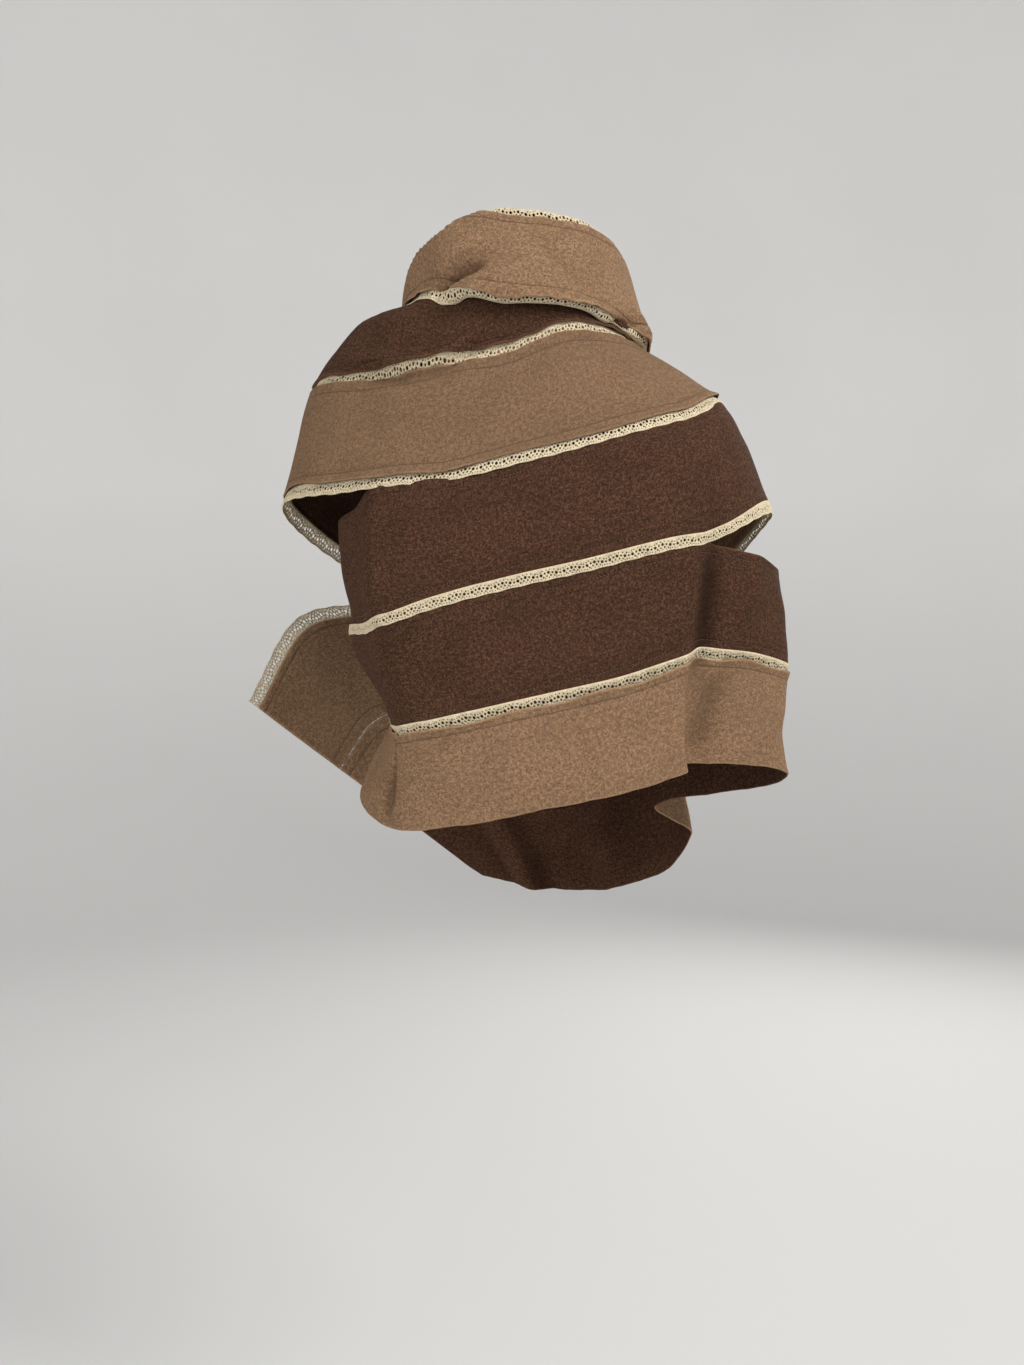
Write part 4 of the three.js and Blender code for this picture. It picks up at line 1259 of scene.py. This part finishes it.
def felt_group():
    """Felted wool: matted fibre, tufts, broad patches, raw edges, and painted shade in stitch grooves
    and creases and on the darker strips.
    """
    group, entry, leave = node_group(
        "felted_wool",
        [("Wool", "NodeSocketColor", (0.3, 0.2, 0.1, 1)),
         ("Fleck", "NodeSocketColor", (0.4, 0.3, 0.2, 1)),
         ("Depth", "NodeSocketColor", (0.2, 0.1, 0.05, 1)),
         ("Heather", "NodeSocketFloat", 0.5)],
        [("Color", "NodeSocketColor"), ("Roughness", "NodeSocketFloat"),
         ("Height", "NodeSocketFloat")])
    n = Nodes(group)
    cloth = n.new("ShaderNodeUVMap", uv_map="cloth").outputs["UV"]
    masks = {name: n.attribute(name) for name in ("raw_edge", "stitch_line", "crease", "tone")}
    matting = n.noise(cloth, 540.0, 3.0, 0.75)
    curls = []
    for scale, angle in FIBRE_LAYS:
        contour = n.noise(n.turned(cloth, scale, angle), 1.0, 1.5, 0.5, 1.4)
        curls.append(n.spread(n.math("ABSOLUTE", n.math("SUBTRACT", contour, 0.5), 0.0),
                              0.05, 0.0))
    masks["tufts"] = n.noise(cloth, 250.0, 2.0, 0.6)
    masks["patches"] = n.noise(cloth, 30.0, 2.5, 0.5)
    fibre = n.math("MAXIMUM", *curls)
    color = n.mix(n.spread(matting, 0.51, 0.41, 0.0, 1.0), entry.outputs["Wool"],
                  entry.outputs["Depth"])
    color = n.mix(n.math("MULTIPLY", n.spread(matting, 0.5, 0.6), entry.outputs["Heather"]),
                  color, entry.outputs["Fleck"])
    color = n.mix(n.math("MULTIPLY", fibre, entry.outputs["Heather"]), color,
                  entry.outputs["Fleck"])
    # Painted shade: the creases and the stitch grooves darken towards the depth colour.
    for layer in FELT_LAYERS:
        share = n.spread(masks[layer.follows], layer.start, layer.full, 0.0, layer.share)
        color = n.mix(share, color, entry.outputs[layer.goes_to])
    # Painted shade on the strips that lie in less light.
    color = n.mix(masks["tone"], color, entry.outputs["Depth"])
    height = n.math("ADD", n.math("MULTIPLY", matting, 0.9), n.math("MULTIPLY", fibre, 0.22))
    height = n.math("ADD", height, n.math("MULTIPLY", masks["tufts"], 0.5))
    n.join(color, leave.inputs["Color"])
    n.join(n.spread(masks["tufts"], 0.3, 0.7, 0.98, 0.86), leave.inputs["Roughness"])
    n.join(height, leave.inputs["Height"])
    return group


# How dark the painted shade in the hollows between the lace's threads is; uneven patches go towards it
# too.
LACE_HOLLOW = 0.26


def lace_group():
    """Knotted cotton: crossing threads and knots, with painted shade in the hollows between them."""
    group, entry, leave = node_group(
        "knotted_cotton",
        [("Thread", "NodeSocketColor", (0.7, 0.6, 0.4, 1)),
         ("Hollow", "NodeSocketColor", (0.3, 0.22, 0.12, 1))],
        [("Color", "NodeSocketColor"), ("Roughness", "NodeSocketFloat"),
         ("Height", "NodeSocketFloat")])
    n = Nodes(group)
    cloth = n.new("ShaderNodeUVMap", uv_map="cloth").outputs["UV"]
    knots = fill(n.new("ShaderNodeTexVoronoi"), {"Scale": 1050.0, "Randomness": 0.75})
    n.join(cloth, knots.inputs["Vector"])
    knot = n.spread(knots.outputs["Distance"], 0.15, 0.62, 1.0, 0.0)
    twist = []
    for angle in (38.0, -38.0):
        wave = fill(n.new("ShaderNodeTexWave"), {"Scale": 260.0, "Distortion": 1.6, "Detail": 1.0})
        n.join(n.turned(cloth, (1.0, 1.0, 1.0), angle), wave.inputs["Vector"])
        twist.append(wave.outputs["Fac"])
    net = n.math("MULTIPLY", *twist)
    threads = n.math("ADD", n.math("MULTIPLY", knot, 0.6), n.math("MULTIPLY", net, 0.7))
    uneven = n.noise(cloth, 130.0, 2.0)
    # Painted shade: the cotton goes darker in the hollows between the threads.
    color = n.mix(n.spread(threads, 0.5, 0.05, 0.0, 0.5), entry.outputs["Thread"],
                  entry.outputs["Hollow"])
    color = n.mix(n.spread(uneven, 0.58, 0.36, 0.0, 0.22), color, entry.outputs["Hollow"])
    n.join(color, leave.inputs["Color"])
    n.join(n.spread(threads, 0.0, 1.0, 0.95, 0.78), leave.inputs["Roughness"])
    n.join(threads, leave.inputs["Height"])
    return group


def thread_group():
    """Spun thread: a slight painted sheen, a lighter colour that changes along it."""
    group, _, leave = node_group(
        "spun_thread", [], [("Share", "NodeSocketFloat"), ("Roughness", "NodeSocketFloat")])
    n = Nodes(group)
    spot = n.new("ShaderNodeTexCoord").outputs["Object"]
    spin = n.noise(spot, 900.0, 2.0)
    n.join(n.spread(spin, 0.35, 0.65), leave.inputs["Share"])
    n.join(n.spread(spin, 0.3, 0.7, 0.55, 0.8), leave.inputs["Roughness"])
    return group


# How strong the cloths' relief is, and in metres how deep that of the felt and of the lace is.
BUMP_STRENGTH = 0.8
FELT_BUMP = 0.0009
LACE_BUMP = 0.0006


def cloth_material(name, group, colors, bump_depth, sheen, sheen_tint):
    """A material of one cloth, with its shader's steady values on the shader itself."""
    material, n, shader = new_material(name)
    made = fill(n.new("ShaderNodeGroup", node_tree=group), colors)
    n.join(made.outputs["Color"], shader.inputs["Base Color"])
    n.join(made.outputs["Roughness"], shader.inputs["Roughness"])
    relief = fill(n.new("ShaderNodeBump"), {"Strength": BUMP_STRENGTH, "Distance": bump_depth})
    n.join(made.outputs["Height"], relief.inputs["Height"])
    n.join(relief.outputs["Normal"], shader.inputs["Normal"])
    fill(shader, {"Specular IOR Level": 0.12, "Sheen Weight": sheen, "Sheen Roughness": 0.5,
                  "Sheen Tint": (*sheen_tint, 1.0)})
    return material


def shaded(color, share):
    """The same colour, darker or lighter by a share, with full alpha."""
    return (*(min(channel * share, 1.0) for channel in color), 1.0)


def heathered(color, share, greyness):
    """A paler fibre of the same wool, greyer than the wool itself by the given share."""
    grey = sum(color) / len(color)
    return (*(min((channel + (grey - channel) * greyness) * share, 1.0) for channel in color), 1.0)


# The two faces of the felt. fleck, greyness: how much paler and greyer its fibres are. depth: how
# dark its darker fibres and patches are, and its painted shade. heather: how much the fibres show.
FeltFace = namedtuple("FeltFace", "name fleck greyness depth heather sheen")
FELT_FACES = [
    FeltFace("camel", 1.75, 0.0, 0.46, 0.8, 0.06),
    FeltFace("brown", 3.4, 0.08, 0.34, 0.85, 0.04),
]
# How much brighter than the wool its sheen is, and than the thread its painted sheen is at its
# lightest.
SHEEN_TINT = 2.2
THREAD_PAINTED_SHEEN = 1.7


def felt_materials(felt):
    """The materials of the felt's two faces, made once."""
    group = bpy.data.node_groups.get("felted_wool") or felt_group()
    made = {}
    for face in FELT_FACES:
        color = getattr(felt, face.name)
        title = f"{face.name}_felted_wool"
        made[face.name] = bpy.data.materials.get(title) or cloth_material(
            title, group,
            {"Wool": (*color, 1.0), "Fleck": heathered(color, face.fleck, face.greyness),
             "Depth": shaded(color, face.depth), "Heather": face.heather},
            FELT_BUMP, face.sheen, [min(channel * SHEEN_TINT, 1.0) for channel in color])
    return made


def thread_material(stitching):
    """The material of the sewing thread, made once."""
    material = bpy.data.materials.get("sewing_thread")
    if material:
        return material
    material, n, shader = new_material("sewing_thread")
    made = n.new("ShaderNodeGroup", node_tree=thread_group())
    # Painted sheen: the thread's colour lighter in patches.
    color = n.mix(made.outputs["Share"], (*stitching.color, 1.0), shaded(stitching.color, THREAD_PAINTED_SHEEN))
    n.join(color, shader.inputs["Base Color"])
    n.join(made.outputs["Roughness"], shader.inputs["Roughness"])
    return material


def backdrop_paint(stage):
    """Matte paint, slightly clouded, darker on the floor than on the wall."""
    material, n, shader = new_material("backdrop_paint")
    spot = n.new("ShaderNodeTexCoord").outputs["Object"]
    cloud = n.noise(spot, 1.2, 2.0)
    color = n.mix(n.spread(cloud, 0.3, 0.7), (*stage.paleness, 1.0),
                  shaded(stage.paleness, CLOUD_DARKNESS))
    height = n.new("ShaderNodeSeparateXYZ")
    n.join(spot, height.inputs["Vector"])
    rise = n.spread(height.outputs["Z"], stage.floor_height, stage.floor_height + SWEEP)
    color = n.mix(rise, shaded(stage.paleness, FLOOR_DARKNESS), color)
    n.join(color, shader.inputs["Base Color"])
    fill(shader, {"Roughness": 0.9, "Emission Color": (1.0, 0.99, 0.98, 1.0),
                  "Emission Strength": 0.1})
    return material


# ---- Settings ----

def length_setting(name, description, default, low, high):
    return bpy.props.FloatProperty(name=name, description=description, default=default,
                                   min=low, max=high, unit="LENGTH")


def color_setting(name, description, default):
    return bpy.props.FloatVectorProperty(name=name, description=description, default=default,
                                         subtype="COLOR", size=3, min=0.0, max=1.0)


class CapeFeltSettings(bpy.types.PropertyGroup):
    """The felt that the strips are cut from."""

    thickness: length_setting("Thickness", "How thick the felt is", FELT * MM, 0.001, 0.004)
    camel: color_setting("Camel", "Colour of the felt's light face", (0.236, 0.143, 0.082))
    brown: color_setting("Brown", "Colour of the felt's dark face", (0.0445, 0.0200, 0.0105))


class CapeLaceSettings(bpy.types.PropertyGroup):
    """The lace that joins and edges the strips."""

    thickness: length_setting("Thickness", "How thick the lace is", 0.0005, 0.0003, 0.002)
    repeat: length_setting("Repeat", "Length of one repeat of the lace", LACE_REPEAT * MM,
                           0.01, 0.05)
    cotton: color_setting("Cotton", "Colour of the cotton", (0.84, 0.71, 0.49))


class CapeStitchSettings(bpy.types.PropertyGroup):
    """The rows of machine stitches."""

    pitch: length_setting("Stitch Length", "From one stitch to the next", 0.0031, 0.002, 0.006)
    thread: length_setting("Thread", "How thick the thread is", 0.00055, 0.0003, 0.001)
    color: color_setting("Thread Colour", "Colour of the sewing thread", (0.085, 0.046, 0.026))


class CapeStageSettings(bpy.types.PropertyGroup):
    """The plain studio round the cape."""

    floor_height: length_setting("Floor Height", "Height of the floor below the shoulders",
                                 -1.3, -3.0, -0.6)
    key_power: bpy.props.FloatProperty(
        name="Key Light", description="Power of the main soft light", default=92.0,
        min=0.0, unit="POWER")
    paleness: color_setting("Backdrop", "Colour of the floor and the backdrop",
                            (0.74, 0.74, 0.735))


# ---- The stage ----

# Metres. The backdrop is a floor, a quarter round SWEEP high and a plain wall.
FLOOR_RADIUS = 3.4
SWEEP = 1.6
WALL = 3.2
BACKDROP_SIDES = 96
SWEEP_STEPS = 14
FLOOR_DARKNESS = 0.7
CLOUD_DARKNESS = 0.96

SKY_TINT = (1.0, 0.99, 0.975, 1.0)
SKY_STRENGTH = 0.42
# size: how wide the lamp is. share: its power as a share of the key light's.
Lamp = namedtuple("Lamp", "name spot size share tint")
LAMPS = [
    Lamp("key", (1.8, -1.7, 1.6), 1.1, 1.0, (1.0, 0.985, 0.96)),
    Lamp("fill", (-2.4, -1.9, 0.4), 1.8, 0.42, (1.0, 0.98, 0.96)),
    Lamp("back", (1.2, 2.7, 0.6), 1.8, 0.42, (1.0, 0.98, 0.96)),
]
LAMPS_AIM = (0.0, 0.0, -0.25)

# The sensor and the lens are in millimetres, and the tilt is 90 degrees where it looks level.
CAMERA_SPOT = (0.003, -1.305, -0.280)
CAMERA_TILT = 87.5
CAMERA_SENSOR = 36.0
CAMERA_LENS = 37.0


# ---- Operators ----

def select_nothing():
    """Deselects everything, so that an operator acts only on what it makes."""
    for thing in bpy.context.view_layer.objects:
        thing.select_set(False)
    bpy.context.view_layer.objects.active = None


def make_felt_strips(context, nodes):
    """Cuts, drapes and sews the strips that stand for these nodes."""
    scene = context.scene
    materials = felt_materials(scene.cape_felt)
    for strip in FELT_STRIPS:
        if strip.node not in nodes:
            continue
        inside = "camel" if strip.outside == "brown" else "brown"
        piece, run = cut_felt(strip, scene.cape_felt, [materials[strip.outside], materials[inside]])
        threads = sew_rows(strip, run, scene.cape_felt, scene.cape_stitches,
                           thread_material(scene.cape_stitches))
        run.flat_size()
        list(strip.carried_by)
        run.flat_area()


class CAPE_OT_cut_yoke(bpy.types.Operator):
    """Cut, drape and sew the neck, cowl, shoulder and yoke strips"""

    bl_idname = "cape.cut_yoke"
    bl_label = "Cut Yoke Strips"

    def execute(self, context):
        make_felt_strips(context, ("neck_strip", "cowl_strip", "shoulder_strip", "yoke_strip"))
        return {"FINISHED"}


class CAPE_OT_cut_wrap(bpy.types.Operator):
    """Cut, drape and sew the upper, middle and hem strips of the wrap"""

    bl_idname = "cape.cut_wrap"
    bl_label = "Cut Wrap Strips"

    def execute(self, context):
        make_felt_strips(context, ("upper_strip", "middle_strip", "hem_strip"))
        return {"FINISHED"}


class CAPE_OT_lay_lace(bpy.types.Operator):
    """Lay the lace insertions and the free lace edging"""

    bl_idname = "cape.lay_lace"
    bl_label = "Lay Lace"

    def execute(self, context):
        lace = context.scene.cape_lace
        tile = lace_tile()
        material = cloth_material(
            "cotton_lace", lace_group(),
            {"Thread": (*lace.cotton, 1.0), "Hollow": shaded(lace.cotton, LACE_HOLLOW)},
            LACE_BUMP, 0.1, lace.cotton)
        for band in LACE_BANDS:
            piece, run = make_lace(band, lace, material, tile)
            width, length = run.flat_size()
            cut = width + sum(lace_overlaps(band)) * MM
            list(band.carried_by)
        return {"FINISHED"}


class CAPE_OT_set_stage(bpy.types.Operator):
    """Set the plain floor and backdrop, the soft lights and the camera"""

    bl_idname = "cape.set_stage"
    bl_label = "Set Stage"

    def execute(self, context):
        stage = context.scene.cape_stage
        select_nothing()
        self.make_backdrop(stage)
        self.light(stage, context.scene)
        self.place_camera(context.scene)
        return {"FINISHED"}

    @staticmethod
    def make_backdrop(stage):
        """A floor whose rim rises all round in one smooth sweep."""
        bpy.ops.mesh.primitive_circle_add(
            vertices=BACKDROP_SIDES, radius=FLOOR_RADIUS, fill_type="NGON",
            location=(0.0, 0.0, stage.floor_height))
        backdrop = bpy.context.object
        backdrop.name = "backdrop"
        bpy.ops.object.mode_set(mode="EDIT")
        bpy.ops.mesh.select_all(action="SELECT")
        radius, height = FLOOR_RADIUS, 0.0
        turns = [math.pi / 2 * k / SWEEP_STEPS for k in range(1, SWEEP_STEPS + 1)]
        rings = [(FLOOR_RADIUS + SWEEP * math.sin(turn), SWEEP * (1 - math.cos(turn)))
                 for turn in turns]
        rings.append((FLOOR_RADIUS + SWEEP, SWEEP + WALL))
        bpy.ops.mesh.select_mode(type="EDGE")
        bpy.ops.mesh.region_to_loop()
        for next_radius, next_height in rings:
            bpy.ops.mesh.extrude_edges_move(
                TRANSFORM_OT_translate={"value": (0.0, 0.0, next_height - height)})
            grow = next_radius / radius
            bpy.ops.transform.resize(value=(grow, grow, 1.0),
                                     center_override=(0.0, 0.0, stage.floor_height + next_height))
            radius, height = next_radius, next_height
        bpy.ops.mesh.select_all(action="SELECT")
        bpy.ops.mesh.normals_make_consistent(inside=True)
        bpy.ops.object.mode_set(mode="OBJECT")
        bpy.ops.object.shade_smooth()
        bpy.ops.object.transform_apply(location=True, rotation=True, scale=True)
        backdrop.data.materials.append(backdrop_paint(stage))

    @staticmethod
    def light(stage, scene):
        """Soft lamps that face the cape, and a pale sky."""
        world = bpy.data.worlds.new("studio")
        world.use_nodes = True
        fill(world.node_tree.nodes["Background"], {"Color": SKY_TINT, "Strength": SKY_STRENGTH})
        scene.world = world
        for row in LAMPS:
            bpy.ops.object.light_add(type="AREA", location=row.spot)
            lamp = bpy.context.object
            lamp.name = f"{row.name}_light"
            lamp.data.size = row.size
            lamp.data.energy = stage.key_power * row.share
            lamp.data.color = row.tint
            aim = np.array(LAMPS_AIM) - np.array(row.spot)
            flat = math.hypot(aim[0], aim[1])
            lamp.rotation_euler = (math.pi / 2 + math.atan2(aim[2], flat), 0.0,
                                   math.atan2(aim[1], aim[0]) - math.pi / 2)
        scene.view_settings.view_transform = "Standard"

    @staticmethod
    def place_camera(scene):
        """A camera behind the wearer, looking slightly down."""
        data = bpy.data.cameras.new("view")
        data.sensor_width = CAMERA_SENSOR
        data.lens = CAMERA_LENS
        camera = bpy.data.objects.new("view", data)
        camera.location = CAMERA_SPOT
        camera.rotation_euler = (math.radians(CAMERA_TILT), 0.0, 0.0)
        scene.collection.objects.link(camera)
        scene.camera = camera


class CAPE_PT_cape(bpy.types.Panel):
    """Settings and steps of the cape"""

    bl_label = "Wrap Cape"
    bl_idname = "CAPE_PT_cape"
    bl_space_type = "VIEW_3D"
    bl_region_type = "UI"
    bl_category = "Cape"

    def draw(self, context):
        scene = context.scene
        for title, settings, names in (
                ("Felt", scene.cape_felt, ("thickness", "camel", "brown")),
                ("Lace", scene.cape_lace, ("thickness", "repeat", "cotton")),
                ("Stitches", scene.cape_stitches, ("pitch", "thread", "color")),
                ("Stage", scene.cape_stage, ("floor_height", "key_power", "paleness"))):
            box = self.layout.box()
            box.label(text=title)
            for name in names:
                box.prop(settings, name)
        for step in STEPS:
            self.layout.operator(step.bl_idname)


SETTINGS = {"cape_felt": CapeFeltSettings, "cape_lace": CapeLaceSettings,
            "cape_stitches": CapeStitchSettings, "cape_stage": CapeStageSettings}
STEPS = (CAPE_OT_set_stage, CAPE_OT_cut_yoke, CAPE_OT_cut_wrap, CAPE_OT_lay_lace)
CLASSES = (*SETTINGS.values(), *STEPS, CAPE_PT_cape)


def register():
    for kind in CLASSES:
        bpy.utils.register_class(kind)
    for name, kind in SETTINGS.items():
        setattr(bpy.types.Scene, name, bpy.props.PointerProperty(type=kind))


def unregister():
    for name in SETTINGS:
        delattr(bpy.types.Scene, name)
    for kind in reversed(CLASSES):
        bpy.utils.unregister_class(kind)


def main():
    register()
    bpy.ops.cape.set_stage()
    bpy.ops.cape.cut_yoke()
    bpy.ops.cape.cut_wrap()
    bpy.ops.cape.lay_lace()


if __name__ == "__main__":
    main()
